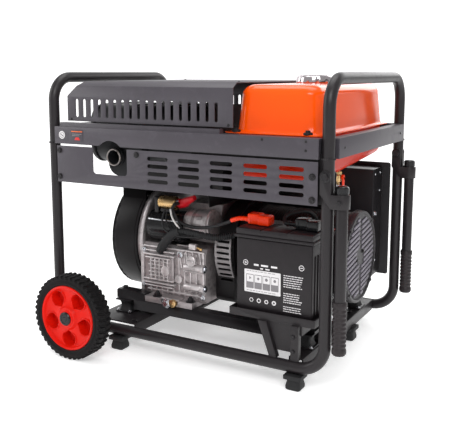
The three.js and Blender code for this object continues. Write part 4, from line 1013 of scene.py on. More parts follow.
def grip(side_name, body, x, y):
    g = place("grip_" + side_name)
    low, high, radius = g.z0, g.z1, g.x1 - g.x
    profile = [(low, radius - 3.4), (low + 1.2, radius - 0.6), (low + 3, radius + 0.4),
               (low + 9, radius + 0.4)]
    for i in range(GRIP_WAVES * WAVE_STEPS + 1):
        along = i / (GRIP_WAVES * WAVE_STEPS)
        swell = math.cos(2 * math.pi * GRIP_WAVES * along)
        profile.append((low + 11 + (high - low - 22) * along, radius - 0.9 + 0.9 * swell))
    profile += [(high - 9, radius + 0.2), (high - 2, radius + 0.4), (high, radius - 1.4)]
    end = rod("z", radius - 2, (low - 1.2, low + 2), (x, y), 32, 0.8)
    piece("ribbed_grip_" + side_name, body, (turned("z", (x, y), profile, 40), GRIP_RUBBER),
          (end, GRIP_RUBBER), replaces=["grip_" + side_name], crease=50)


# ---------------------------------------------------------------- battery
def battery_case():
    """A moulded case with ribbed ends under a stepped lid, and a plain printed panel."""
    b = place("battery_case")
    x_ends, y_ends = (b.x0 + 1.4, b.x1 - 1.4), (b.y0 + 1.0, b.y1 - 1.0)
    case = block(x_ends, y_ends, (b.z0, b.z1), 4, 3)
    ribs = []
    for end in (b.x0, b.x1):
        for i in range(7):
            y = b.y0 + 16 + (b.y1 - b.y0 - 32) * i / 6
            ribs.append(block((end - 1.5, end + 1.5), (y - 2, y + 2), (b.z0 + 18, b.z1 - 26), 0.9))
    base = block((b.x0 + 0.4, b.x1 - 0.4), (b.y0 + 0.4, b.y1 - 0.4), (b.z0, b.z0 + 9), 3)
    piece("battery_body", "root", (case, BATTERY_PLASTIC), (merged(*ribs), BATTERY_PLASTIC),
          (base, BATTERY_PLASTIC), replaces=["battery_case"])
    battery_print(b)


PRINT_CELLS, PRINT_LINES, LINE_PITCH = 4, 17, 5.1
BLANK_LINES = (6, 7, 13)


def battery_print(b):
    """White panel with plain pictures in boxes, rows of bars for words, and the two pole signs."""
    y = b.y0 + 1.0
    rng = random.Random(4)
    white, grey = [], []

    def bar(x, wide, z, tall, into, height=0.25):
        into.append(block((x, x + wide), (y + 0.1, y - height), (z - tall / 2, z + tall / 2), 0.06, 1))

    left, right, low, high = b.x0 + 22, b.x0 + 113, b.z0 + 53, b.z0 + 106
    white.append(plate("xz", (y - 0.22, y + 0.1), rounded((left, right), (low, high), 2), edge=0.06))
    cell = (right - left - 8) / PRINT_CELLS
    for i in range(PRINT_CELLS):
        x = left + 4 + cell * i
        box = rounded((x + 0.8, x + cell - 0.8), (low + 9, high - 11), 1.5)
        window = rounded((x + 2, x + cell - 2), (low + 24, high - 12.5), 1)
        grey.append(plate("xz", (y - 0.34, y - 0.1), box, [window], edge=0.05))
        centre = (x + cell / 2, high - 20)
        grey.append(rod("y", 4.2 - 0.5 * (i % 2), (y - 0.36, y - 0.1), centre, 3 + i, 0.05))
    for z in (high - 3.5, low + 4):
        x = left + 6
        while x < right - 12:
            w = rng.uniform(4, 9)
            bar(x, w, z, 1.3, grey, 0.34)
            x += w + 2
    for row in range(PRINT_LINES):
        if row in BLANK_LINES:
            continue
        x, end = right + 7, b.x1 - 24 + rng.uniform(-8, 4)
        while x < end:
            w = min(rng.uniform(3, 8), end - x)
            bar(x, w, high - 3 - row * LINE_PITCH, 1.9, white)
            x += w + 1.3
    for x, w, z, tall in ((46, 12, 118, 4.2), (64, 17.6, 118, 4.2), (89, 15.2, 118, 4.2),
                          (62, 7.2, 110.5, 3), (75, 10.4, 110.5, 3)):
        bar(b.x0 + x, w, b.z0 + z, tall, white)
    for i in range(4):
        centre = (b.x0 + 40 + 19 * i, b.z0 + 35)
        white.append(carved(rod("y", 5.4, (y + 0.1, y - 0.24), centre, 6 + 6 * (i % 2), 0.05),
                            rod("y", 3.6 - 0.4 * i, (y + 1, y - 1), centre, 12, 0.05)))
    for x, z, crossed in ((b.x0 + 25, b.z0 + 121, True), (b.x1 - 27, b.z0 + 125, False)):
        white.append(carved(rod("y", 6.4, (y + 0.1, y - 0.25), (x, z), 36, 0.05),
                            rod("y", 5.0, (y + 1, y - 1), (x, z), 32, 0.05)))
        white.append(block((x - 3.2, x + 3.2), (y + 0.1, y - 0.25), (z - 0.8, z + 0.8), 0.05, 1))
        if crossed:
            white.append(block((x - 0.8, x + 0.8), (y + 0.1, y - 0.26), (z - 3.2, z + 3.2), 0.05, 1))
    piece("battery_panel", "root", (merged(*white), WHITE_INK), (merged(*grey), GREY_INK))


def battery_lid():
    b = place("battery_lid")
    rim_z = b.z0 + 7
    skirt = block((b.x0, b.x1), (b.y0, b.y1), (b.z0, rim_z), 1.8)
    left_x = b.x0 + 66
    right_x = b.x1 - 66
    deck = block((b.x0 + 3, b.x1 - 3), (b.y0 + 3, b.y1 - 3), (rim_z - 1, b.z1 - 2.5), 2.4)
    shelves = [block(span, (b.y0 + front, b.y1 - back), (rim_z, b.z1 - drop), 2) for span, front, back,
               drop in (((b.x0 + 3.5, left_x - 1), 2.6, 40, 0.4), ((left_x + 1, right_x - 1), 3.6, 4, 0.8),
                        ((right_x + 1, b.x1 - 3.5), 2.6, 40, 0.4))]
    vents = [rod("z", 7, (b.z1 - 2, b.z1 + 0.1), (left_x + 12 + 11.5 * i, b.y + 14), 24, 0.6)
             for i in range(0, 6, 2)]
    piece("battery_cover", "root", (merged(skirt, deck, *shelves, *vents), BATTERY_PLASTIC),
          replaces=["battery_lid"])


def battery_tray():
    piece("tray_steel", "root", (drawn_from("battery_tray", 0.8), PAINT), replaces=["battery_tray"])
    b = place("battery_tray")
    bolts = [bolt("y", NEAR, (b.x0 + 165, b.y0 + 2, b.z0 + rise), 5) for rise in (22, 56)]
    piece("tray_bolts", "root", *[(part, BLACK_PAINT) for part in bolts])


def terminal_clamp(name, plastic):
    """Two joined rounded housings over the clamp, with a tapering tail for the cable."""
    b = place(name)
    tail = 18
    x0 = b.x0 + tail
    mid_x = x0 + (b.x1 - x0) * 0.54
    low = block((x0, mid_x + 2), (b.y0, b.y1), (b.z0, b.z1 + 5), 3.6, 4)
    high = block((mid_x - 1, b.x1 + 4), (b.y0 - 6, b.y1 - 4), (b.z0, b.z1 + 3), 4.2, 4)
    waist = block((mid_x - 4, mid_x + 4), (b.y0 + 3, b.y1 - 6), (b.z0 + 1, b.z1 - 5), 2)
    mid = (b.y0 + b.y1) / 2
    z = b.z0 + 9
    path = [Vector((x0 + 6, mid, z)), Vector((x0 - 2, mid, z)), Vector((b.x0 + 8, mid, z - 0.4)),
            Vector((b.x0, mid, z))]
    neck = swept(smoothed(path, 6), lambda s: 8.4 - 0.16 * min(s, 22), 20)
    rib = block((x0 + 7, x0 + 10), (b.y0 - 0.8, b.y1 + 0.4), (b.z0 + 2, b.z1 - 0.6), 0.9)
    piece(name + "_clamp", "root", *[(part, plastic) for part in (low, high, waist, neck, rib)],
          replaces=[name])


# ---------------------------------------------------------------- cables and hoses
ALTERNATOR_R = 107


def cables():
    lid, cover = place("battery_lid"), place("positive_cover")
    y, z = cover.y, lid.z1 + 9.3
    solenoid = place("starter_solenoid")
    tail = Vector((solenoid.x1 + 1, solenoid.y, solenoid.z))
    sleeve = [(cover.x0 + 2, y, z), (cover.x0 - 14, y + 1, z - 2), (cover.x0 - 34, y + 4, z - 9)]
    positive = [(cover.x0 - 30, y + 3, z - 8), (cover.x0 - 52, y + 8, z - 18), (44 + OFFSET, -170, z - 33),
                (4 + OFFSET, -160, z - 42), (-36 + OFFSET, -150, z - 44), (-70 + OFFSET, -146, z - 34),
                (-88 + OFFSET, -146, z - 10), (-84 + OFFSET, -140, tail.z + 2),
                (-78 + OFFSET, tail.y, tail.z)]
    piece("positive_lead", "root", (swept(smoothed(positive, 8), 4.2, 20), RUBBER),
          (swept(smoothed(sleeve, 8), 5.4, 20), RED_PLASTIC), replaces=["positive_cable"])
    boot = [(-30 + OFFSET, -132, tail.z + 22), (-50 + OFFSET, tail.y - 9, tail.z + 13),
            (-70 + OFFSET, tail.y, tail.z + 3), (solenoid.x1 + 1, tail.y, tail.z)]
    rubber_boot = swept(smoothed(boot, 6), lambda s: 6.5 + 5.5 * min(s / 40, 1) + 0.5 * math.sin(s), 24)
    piece("solenoid_boot", "root", (rubber_boot, RED_RUBBER))
    start = place("negative_cover")
    reach, land = ((ALTERNATOR_R + clear) * math.sqrt(0.5) for clear in (22, 4.5))
    x = start.x0
    negative = [(x - 1, y, z), (x - 12, y + 1, z + 1), (x - 20, y + 24, z + 12), (x + 10, y + 58, z + 20),
                (x + 26, y + 82, z + 6), (x + 28, -reach, CRANK.z + reach), (x + 28, -land, CRANK.z + land)]
    piece("earth_lead", "root", (swept(smoothed(negative, 8), 4.6, 20), RUBBER), replaces=["negative_cable"])
    small_wires()
    fuel_line()


def small_wires():
    """The thin starting wires and the corrugated conduit that carries them to the control box."""
    y = place("starter_motor").y0 - 5
    wires = [([(-92, y + 6, 348), (-84, y, 330), (-70, y - 2, 312), (-52, y - 2, 296), (-40, y + 8, 290)],
              2.4, WHITE_WIRE),
             ([(-110, y + 8, 344), (-112, y - 2, 322), (-106, y - 6, 300), (-84, y - 8, 288),
               (-50, y - 10, 284), (0, y - 8, 288), (36, y - 2, 296)], 2.6, RUBBER),
             ([(-104, y + 6, 340), (-102, y, 320), (-90, y - 4, 300), (-66, y - 6, 290), (-20, y - 6, 286),
               (20, y, 292)], 1.8, RUBBER),
             ([(-88, y + 10, 352), (-76, y + 4, 336), (-66, y + 4, 316), (-56, y + 6, 300)], 1.8, RUBBER), ]
    parts = [(swept(smoothed([(a + OFFSET, b, c) for a, b, c in points], 8), r, 10), m) for points, r,
             m in wires]
    piece("starting_wires", "root", *parts)
    route = smoothed([(-78 + OFFSET, y - 2, 288), (-50 + OFFSET, y - 4, 297), (0 + OFFSET, y - 4, 294),
                      (46 + OFFSET, y + 2, 290), (84 + OFFSET, y + 24, 296)], 26)
    conduit = swept(route, lambda s: 7.5 + (0.9 if s % 5 < 2.5 else -0.5), 20)
    hose = smoothed([(-58 + OFFSET, y - 2, 296), (-82 + OFFSET, y - 3, 284), (-108 + OFFSET, y - 4, 256),
                     (-124 + OFFSET, y + 6, 236)], 10)
    piece("conduit_and_breather", "root", (conduit, RUBBER), (swept(hose, 12, 24), RUBBER))


def fuel_line():
    valve, carb = place("fuel_valve"), place("carburettor")
    low = valve.z0
    points = [(valve.x, valve.y, low + 6), (valve.x, valve.y, low - 10),
              (valve.x - 40, valve.y + 30, low - 38), (200 + OFFSET, 60, 374), (80 + OFFSET, 110, 374),
              (20 + OFFSET, 150, 372), (carb.x1 + 1, carb.y0 + 20, carb.z0 + 20)]
    clip = rod("z", 5.4, (low - 3, low + 0.5), (valve.x, valve.y), 20, 0.5)
    piece("fuel_line", "root", (swept(smoothed(points, 10), 4, 16), RUBBER), (clip, PLATE_STEEL),
          replaces=["fuel_hose"])


# ---------------------------------------------------------------- engine
CASE_FACE = -142  # where the crankcase's near side lies
FOOT_X, FOOT_Y = (-125, -23), 165  # the engine's four foot bolts
FLANGE_BORE, FLANGE_EDGE = 132, 147


def on_face(x, z, deep, edge, segments=3, sunk=2):
    """A rib or fin on the crankcase's near face, with its spans along X and Z."""
    return block(engine_x(*x), (CASE_FACE - deep, CASE_FACE + sunk), z, edge, segments)


def crankcase():
    """The block with its ribs, finned cover, bolt bosses, feet, drain bolts and flange."""
    piece("crankcase_casting", "root", (drawn_from("crankcase", 2.2, 3, 35), CASTING), replaces=["crankcase"])
    ribs = [on_face((x - 2.2, x + 2.2), (122, 150 if i < 5 else 238), 4.5, 1.8)
            for i, x in enumerate(-158 + 17.5 * k for k in range(9))]
    for x in (-66, -46, -26, -6):
        rib = on_face((x - 2.6, x + 2.6), (196, 244), 5, 2.0)
        ribs.append(rotated(rib, "y", -9, (x + OFFSET, CASE_FACE, 220)))
    for z, x0, x1 in ((243, -180, 4), (190, -58, 4), (128, -170, 8)):
        ribs.append(on_face((x0, x1), (z - 3, z + 3), 5, 2.2))
    ribs += [on_face((x - 4, x + 4), (120, 246), 6, 3) for x in (-184, 3)]
    # The ribs take the lighter copy of the casting as painted highlight.
    piece("crankcase_ribs", "root", (merged(*ribs), HIGHLIGHT_CASTING))
    rows = ((235, -166, -78, 14), (226, -172, -76, 19), (217, -168, -90, 17),
            (160, -172, -80, 18), (151, -174, -74, 20), (142, -168, -84, 16))
    fins = [on_face((x0, x1), (z - 1.9, z + 1.9), deep, 1.3, 2, 1) for z, x0, x1, deep in rows]
    fins += [on_face((-156 - 3 * (i % 2), -98 + 4 * (i % 3)), (z - 1.6, z + 1.6), 14, 1.2, 2, 1)
             for i, z in enumerate(169 + 9.6 * k for k in range(5))]
    fins += [on_face((x, x + 3.6), (158 + 3 * (i % 2), 216), 15.5, 1.4, 2, 0)
             for i, x in enumerate(range(-152, -99, 13))]
    fins.append(rod("y", 13, (CASE_FACE - 19, CASE_FACE), (-104 + OFFSET, 186), 32, 2))
    # The fins take the lighter casting as painted highlight; the core between them keeps the darker one.
    core = on_face((-160, -84), (142, 232), 8, 4, 3, 1)
    piece("finned_cover", "root", (merged(*fins), HIGHLIGHT_CASTING), (core, CASTING))
    bosses = []
    for z in (202, 150):
        bosses += [rod("x", 9.5, engine_x(-52, 0), (CASE_FACE - 5, z), 32, 2.5),
                   rod("x", 12, engine_x(-4, 8), (CASE_FACE - 5, z), 32, 1.5)]
    bosses += [rod("y", radius, (CASE_FACE - deep, CASE_FACE), (x + OFFSET, z), 28, 2)
               for radius, deep, x, z in ((11, 9, -70, 166), (9, 8, -64, 232))]
    heads = [bolt("x", FAR, (7.5 + OFFSET, CASE_FACE - 5, z), 6, 4) for z in (202, 150)]
    heads += [bolt("y", NEAR, (x + OFFSET, CASE_FACE - deep, z), radius, 4) for x, deep, z, radius in
              ((-64, 8, 232, 5.5), (-176, 6, 232, 5), (-176, 6, 140, 5), (2, 6, 128, 5))]
    piece("bolt_bosses", "root", (merged(*bosses), HIGHLIGHT_CASTING), (merged(*heads), PLATE_STEEL))
    engine_feet()
    engine_flange()
    governor()


def engine_feet():
    top = 118.4
    spots = [(x + OFFSET, side * FOOT_Y) for x in FOOT_X for side in (NEAR, FAR)]
    bolts = [bolt("z", FAR, (x, y, top), 8.5, 8) for x, y in spots]
    studs = [rod("z", 4.4, (top, top + 14), spot, 20, 0.8) for spot in spots]
    piece("engine_foot_bolts", "root", (merged(*bolts, *studs), BLACK_PAINT))
    first, second = (-88 + OFFSET, 108), (-66 + OFFSET, 112)
    drain = [bolt("y", NEAR, (first[0], -178.3, first[1]), 8.5, 6), rod("y", 11, (-176, -183), first, 32, 1)]
    plug = [rod("y", 10.5, (-178, -186), second, 32, 1.5), rod("y", 4, (-185, -188), second, 16, 0.8)]
    lump = block(engine_x(-108, -50), (-178, -150), (104, 122), 4, 3)
    piece("drain_plugs", "root", (merged(*drain), PLATE_STEEL), (merged(*plug), BRASS), (lump, CASTING))


def engine_flange():
    """The broad machined flange between the engine and its fan housing."""
    x1 = -193 + OFFSET
    inner, outer = ([on_circle(SHAFT, radius, i * 7.5) for i in range(48)]
                    for radius in (FLANGE_BORE, FLANGE_EDGE))
    rim_ring = plate("yz", (x1 - 0.5, x1 + 10), outer, [inner], edge=1.6)
    floor = block((x1 - 10, x1 + 20), (-180, 180), (60, 103.4), 0.2)
    ring_cut = carved(rim_ring, floor)
    webs = []
    for angle in (200, 215, 150, 165, 180):
        web = block((x1 - 0.5, x1 + 5), (118, 136), (-2.5, 2.5), 1.5)
        webs.append(shifted(rotated(web, "x", angle), 0, *SHAFT))
    piece("engine_flange", "root", (ring_cut, HIGHLIGHT_CASTING), (merged(*webs), CASTING))


def governor():
    """The round casting beyond the starter, with its clamp bands and bracket."""
    y, z = -96, 307
    base = [(-60, 30), (-58, 36.6), (-44, 37), (-42, 34), (-36, 34), (-34, 37.2), (-6, 37.2), (-4, 39),
            (2, 39), (4, 36), (8.4, 36)]
    shell = turned("x", (y, z), [(a + OFFSET, r) for a, r in base], 48)
    lugs = [rotated(block(engine_x(-30, -12), (y - 40, y - 34), (z - 5, z + 5), 2), "x", 35 * k, (0, y, z))
            for k in (-1, 0, 1)]
    cap = turned("x", (y, z), [(a + OFFSET, r) for a, r in [(-64, 24), (-61, 30), (-56, 31)]], 48)
    piece("governor_housing", "root", (shell, HIGHLIGHT_CASTING), (merged(*lugs), CASTING), (cap, HIGHLIGHT_CASTING))
    rods = [rod("x", 2.2, engine_x(-118, -84), (-150, 268), 16, 0.5),
            rod("x", 2.2, engine_x(-72, -10), (-150, 258), 16, 0.5)]
    blocks = [block(engine_x(-34, -14), (-156, -144), (251, 265), 1.5),
              block(engine_x(-122, -106), (-152, -144), (252, 264), 1.5)]
    lever = rotated(block(engine_x(-12, 4), (-154, -150), (252, 258), 1), "y", 14, (-4 + OFFSET, -150, 255))
    piece("throttle_linkage", "root", (merged(*rods), OUTLET_STEEL), (blocks[0], HIGHLIGHT_CASTING),
          (blocks[1], HIGHLIGHT_CASTING), (lever, BRASS))


def cylinder_and_head():
    b = place("cylinder")
    tilt = 35
    centre = SHAFT
    fins = []
    core = block((b.x0 + 14, b.x1 - 14), (112, 166), (-42, 42), 6, 3)
    for i in range(9):
        y = 115 + 5.9 * i
        fins.append(block((b.x0 + 0.5, b.x1 - 0.5), (y, y + 2.2), (-55, 55), 0.8, 1))
    body = merged(core, *fins)
    rotated(body, "x", tilt)
    piece("cylinder_fins", "root", (shifted(body, 0, *centre), CASTING), replaces=["cylinder"])
    cover = merged(block((b.x0 + 10, b.x1 - 10), (166, 203), (-43, 43), 9, 4),
                   block((b.x0 + 6, b.x1 - 6), (165.6, 170), (-46, 46), 2, 2))
    bolts = [bolt("y", FAR, (x, 170, z), 5, 4) for x in (b.x0 + 12, b.x1 - 12) for z in (-36, 36)]
    screws = merged(*bolts)
    for part in (cover, screws):
        shifted(rotated(part, "x", tilt), 0, *centre)
    piece("valve_cover", "root", (cover, FAN_PAINT), (screws, PLATE_STEEL), replaces=["rocker_cover"])


def fan_housing():
    """The pressed fan cover with its bead, grille and screws."""
    b = place("fan_housing")
    piece("fan_cover", "root", (drawn_from("fan_housing", 1.4, 2, 25), FAN_PAINT), replaces=["fan_housing"])
    drum = [(b.x0 + 1, 142), (b.x0 + 2, 147.5), (b.x0 + 6, 150.4), (b.x0 + 12, 151.2), (b.x1 - 14, 151.2),
            (b.x1 - 13, 152.6), (b.x1 - 8, 152.6), (b.x1 - 7, 151.2), (b.x1 - 0.2, 151.2), (b.x1 - 0.2, 148),
            (b.x0 + 8, 146), (b.x0 + 4, 142)]
    shell = turned("x", SHAFT, drum, 96, closed=True)
    cut_box = block((b.x0 - 5, b.x1 + 5), (b.y0 + 52, b.y1 - 36), (CRANK.z + 60, CRANK.z + 200), 0.2)
    bead = turned("x", SHAFT, [(b.x0 - 0.4, 96), (b.x0 - 3.4, 99), (b.x0 - 3.4, 106), (b.x0 - 0.4, 110),
                                            (b.x0 + 2, 108), (b.x0 + 2, 98)], 72, closed=True)
    heads = [bolt("x", NEAR, (b.x0 + 0.4, *on_circle(SHAFT, FLANGE_BORE, 22.5 + 45 * i)), 5, 4)
             for i in range(8)]
    piece("fan_cover_drum", "root", (carved(shell, cut_box), FAN_PAINT), (bead, FAN_PAINT),
          (merged(*heads), PLATE_STEEL))
    piece("flywheel_fan", "crank_assembly", (drawn_from("flywheel", 0.8), HIGHLIGHT_CASTING),
          replaces=["flywheel"])


def starter():
    """The starter's barrel, end cap, through bolts, and the solenoid above it."""
    b, s = place("starter_motor"), place("starter_solenoid")
    c = (b.y, b.z)
    x0, x1, r = b.x0, b.x1, (b.z1 - b.z0) / 2
    barrel = [(x0, r - 6), (x0 + 2, r - 1.5), (x0 + 10, r - 1), (x0 + 11, r - 0.2), (x1 - 30, r - 0.2),
              (x1 - 29, r - 1.2), (x1 - 26, r - 1.2), (x1 - 25, r - 0.2), (x1 - 10, r - 0.2), (x1 - 4, r - 3),
              (x1 - 0.5, r - 9), (x1, 14), (x1, 4)]
    ribs = [rod("x", 2.6, (x0 + 6, x1 - 4), on_circle(c, r + 0.5, degrees), 12, 0.8)
            for degrees in (150, 330)]
    piece("starter_barrel", "root", (turned("x", c, barrel, 64), SHINY_PLASTIC), (merged(*ribs), PLATE_STEEL),
          replaces=["starter_motor"])
    k = (s.y, s.z)
    sr = (s.z1 - s.z0) / 2
    can = [(s.x0, sr - 3), (s.x0 + 1.5, sr - 0.6), (s.x0 + 4, sr), (s.x1 - 7, sr), (s.x1 - 5.5, sr - 1.2),
           (s.x1 - 3, sr - 3.5), (s.x1 - 2.6, 9), (s.x1, 8), (s.x1, 3)]
    mount = block((s.x0 - 12, s.x0 + 1), (s.y - 14, s.y + 12), (s.z - 28, s.z + 14), 3, 3)
    post = merged(hexagon("x", 6, (s.x1 - 1, s.x1 + 5), (s.y - 7, s.z + 5)),
                  rod("x", 2.6, (s.x1, s.x1 + 11), (s.y - 7, s.z + 5), 12, 0.4))
    saddle = block((s.x0 + 6, s.x1 - 8), (s.y - 12, s.y + 12), (s.z - sr - 5, s.z - sr + 3), 1.5)
    piece("solenoid_can", "root", (turned("x", k, can, 48), BRASS), (mount, BLACK_PAINT), (post, PLATE_STEEL),
          (saddle, BLACK_PAINT), replaces=["starter_solenoid"])


def oil_filler():
    """A screw cap with a finger bar."""
    b = place("oil_dipstick")
    c = (b.x, b.z)
    cap = [(b.y1, 8), (b.y0 + 10, 8.5), (b.y0 + 9, 13.5), (b.y0 + 1.5, 14), (b.y0, 12.5), (b.y0 + 0.4, 3)]
    grip_bar = block((b.x - 11, b.x + 11), (b.y0 - 3, b.y0 + 2), (b.z - 2.6, b.z + 2.6), 1.4)
    piece("oil_filler_cap", "root", (turned("y", c, cap, 36), HIGHLIGHT_CASTING), (grip_bar, HIGHLIGHT_CASTING),
          replaces=["oil_dipstick"])


def crankshaft():
    piece("crank_and_rotor", "crank_assembly", (drawn_from("crankshaft", 0.8), STEEL),
          replaces=["crankshaft"])


# ---------------------------------------------------------------- exhaust and intake
def muffler():
    """The pressed can, its seams and bands, and the outlet with a bright rolled rim."""
    b = place("muffler")
    piece("muffler_can", "root", (drawn_from("muffler", 1.6, 3, 25), MUFFLER_PAINT), replaces=["muffler"])
    bands = []
    outline = rounded((-188, 66), (462, 610), 42, 8)
    for x in (b.x0 + 10, b.x0 + 120, b.x0 + 230, b.x1 - 12):
        grown = [(y + (2.4 if y > -61 else -2.4), z + (2.4 if z > 536 else -2.4)) for y, z in outline]
        bands.append(plate("yz", (x - 4, x + 4), grown, edge=1.6))
    piece("muffler_bands", "root", (merged(*bands), MUFFLER_PAINT))
    x, z, end = -202 + OFFSET, 484, b.y0
    rim_section = [(end - 0.5, 17.6), (end - 2.2, 18.4), (end - 2.6, 20), (end - 1.2, 21.4), (end + 2, 21.6),
                   (end + 2, 20.4), (end + 0.6, 18.6)]
    rim_ring = turned("y", (x, z), rim_section, 56, closed=True)
    collar = turned("y", (x, z), [(end + 8, 20.6), (end + 8, 23), (end + 14, 23), (end + 14, 20.6)], 56,
                    closed=True)
    liner = turned("y", (x, z), [(end, 17.9), (end + 60, 17.9), (end + 60, 17.2), (end, 17.2)], 48,
                   closed=True)
    piece("outlet_rim", "root", (rim_ring, OUTLET_STEEL), (collar, MUFFLER_PAINT), (liner, MUFFLER_PAINT))


def shade_sheets_and_shroud():
    """A dark tray under the muffler that stands for the cylinder's cowling, and dark sheets behind the
    louvres that are painted shade, put where only shadow shows through the slots.
    """
    tray = block(engine_x(-196, 12), (-110, 92), (440, 444), 1)
    lip = block(engine_x(-196, 40), (-112, -109), (400, 464), 1)
    back = merged(block(engine_x(-196, 96), (60, 63), (404, 464), 1),
                  block(engine_x(-40, 96), (60, 63), (352, 408), 1))
    side = rotated(block(engine_x(10, 13), (-128, 90), (358, 444), 1), "y", -8, (10 + OFFSET, 0, 358))
    piece("cylinder_shroud_and_shade", "root", *[(part, FAN_PAINT) for part in (tray, lip, back, side)])


def intake():
    b = place("air_filter")
    piece("air_filter_box", "root", (drawn_from("air_filter", 3, 3, 25), BLACK_PLASTIC),
          replaces=["air_filter"])
    ribs = [block((b.x0 + 12, b.x1 - 12), (b.y1 - 1, b.y1 + 2.2), (z - 2, z + 2), 1.2)
            for z in range(436, 486, 12)]
    knob = merged(rod("z", 12, (b.z1 - 1, b.z1 + 8), (b.x, b.y), 10, 1.5),
                  rod("z", 5, (b.z1 + 7, b.z1 + 12), (b.x, b.y), 24, 1))
    clips = [block((x - 8, x + 8), (b.y1 - 2, b.y1 + 4), (b.z0 + 40, b.z0 + 58), 1.5)
             for x in (b.x0 + 30, b.x1 - 30)]
    piece("air_filter_trim", "root", (merged(*ribs), BLACK_PLASTIC), (knob, BLACK_PLASTIC),
          (merged(*clips), PLATE_STEEL))
    c = place("carburettor")
    bowl = rod("z", 19, (c.z0, c.z0 + 20), (c.x, c.y), 40, 3)
    body = block((c.x0, c.x1), (c.y0 + 4, c.y1 - 4), (c.z0 + 19, c.z1), 4, 3)
    flange = block((c.x0, c.x1), (c.y0, c.y0 + 6), (c.z0 + 14, c.z1 - 1), 2)
    lever = block((c.x1 - 12, c.x1 - 2), (c.y, c.y + 3), (c.z1 - 4, c.z1 + 12), 1)
    nuts = [bolt("y", FAR, (x, c.y0 + 5, c.z0 + 32), 4.2, 3) for x in (c.x0 + 7, c.x1 - 7)]
    piece("carburettor_body", "root", (merged(bowl, body, flange), HIGHLIGHT_CASTING), (lever, BRASS),
          (merged(*nuts), PLATE_STEEL), replaces=["carburettor"])


# ---------------------------------------------------------------- alternator
def alternator():
    """The slotted front bracket, the stator's shell with its stack of plates, and the tie bolts."""
    front, body, end = place("alternator_front"), place("alternator_body"), place("alternator_end_cover")
    c = SHAFT
    shell = drawn_from("alternator_front", 1.2, 2, 25)
    slot_heights = [172 + 14.6 * i for i in range(8)]
    slots = [block((front.x0 + 14, front.x1 - 5), side, (z - 3, z + 3), 2.4, 3)
             for z in slot_heights for side in ((-130, -88), (88, 130))]
    rim_r = (front.z1 - front.z0) / 2
    guard = turned("x", c, [(front.x0 + 7, rim_r - 1), (front.x0 + 7, rim_r + 2.2),
                            (front.x1 - 1, rim_r + 2.2), (front.x1 - 1, rim_r - 1)], 96, closed=True)
    wide = (front.x0 - 9, front.x1 + 9)
    away = [block(wide, (-140, 140), (CRANK.z + 40, CRANK.z + 150), 0.1),
            block(wide, (-140, 140), (60, 160), 0.1), block(wide, (-70, 70), (50, 400), 0.1)]
    guard = carved(guard, *away)
    holes = [block((front.x0 + 12, front.x1 - 5), (-130, 130), (z - 3.2, z + 3.2), 2.6, 3)
             for z in slot_heights]
    piece("alternator_front_bracket", "root", (carved(shell, *slots), FAN_PAINT),
          (carved(guard, *holes), GREY_CASTING), replaces=["alternator_front"])
    r = (body.z1 - body.z0) / 2
    x0, x1 = body.x0, body.x1
    wall = 18
    stack0, stack1 = x0 + 34, x1 - 40
    can = [(x0, r - wall), (x0, r - 1), (x0 + 1.5, r), (stack0, r), (stack0 + 1, r - 4), (stack1 - 1, r - 4),
           (stack1, r), (x1 - 1.5, r), (x1, r - 1), (x1, r - wall)]
    plates = []
    for i in range(28):
        x = stack0 + 3 + (stack1 - stack0 - 6) * i / 28
        plates += [(x, r - 3.2), (x + 1.6, r - 1.2), (x + 3.2, r - 1.2), (x + 4.4, r - 3.2)]
    lamination = [(stack0 + 1, r - 8), *plates, (stack1 - 1, r - 8)]
    piece("alternator_shell", "root", (turned("x", c, can, 80, closed=True), FAN_PAINT),
          (turned("x", c, lamination, 80, closed=True), FAN_PAINT), replaces=["alternator_body"])
    ties = []
    for i in range(4):
        at = on_circle(c, r + 3, 45 + 90 * i)
        ties.append(rod("x", 3.4, (front.x1 - 4, end.x0 + 3), at, 16, 0.5))
        ties.append(hexagon("x", 6, (end.x0 - 5, end.x0 + 0.4), at))
    piece("alternator_tie_bolts", "root", (merged(*ties), PLATE_STEEL))
    end_cover(end, c)


def end_cover(end, c):
    """A shallow dish crossed by two columns of slanted fins, with a plain hub and two screws."""
    r = (end.z1 - end.z0) / 2
    profile = [(end.x0, r), (end.x1 - 6, r), (end.x1 - 2.5, r - 0.8), (end.x1 - 0.6, r - 3),
               (end.x1 - 0.6, r - 7), (end.x1 - 3, r - 9.5), (end.x1 - 4.4, r - 12), (end.x1 - 4.4, 0)]
    disc = turned("x", c, profile, 96)
    fins = []
    for side in (NEAR, FAR):
        for row in range(-8, 9):
            z = row * 12 + side * 3
            start, reach = 26 if abs(z) < 20 else 7, math.sqrt((r - 17) ** 2 - min(z ** 2, (r - 17) ** 2))
            if reach < start + 14:
                continue
            fin = block((end.x1 - 5, end.x1 - 1.4), sorted((side * start, side * reach)), (z - 3.4, z + 3.4),
                        1.4, 2)
            rotated(fin, "x", 9, (0, side * (start + reach) / 2, z))
            fins.append(shifted(fin, 0, c[0], c[1]))
    heads = [bolt("x", FAR, (end.x1 - 4.4, c[0] + y, c[1] + z), 4, 3) for y, z in ((-24, -4), (20, 10))]
    lugs = [bolt("x", FAR, (end.x1 - 3, *on_circle(c, r - 4, 45 + 90 * i)), 4, 3) for i in range(4)]
    rim_ring = turned("x", c, [(end.x0 - 3, r - 2), (end.x0 - 3, r + 0.6), (end.x0 + 3, r + 0.6),
                               (end.x0 + 3, r - 2)], 96, closed=True)
    piece("alternator_end", "root", (disc, COVER_PAINT), (merged(*fins), FIN_PAINT), (rim_ring, COVER_PAINT),
          (merged(*heads, *lugs), BLACK_PAINT), replaces=["alternator_end_cover"])


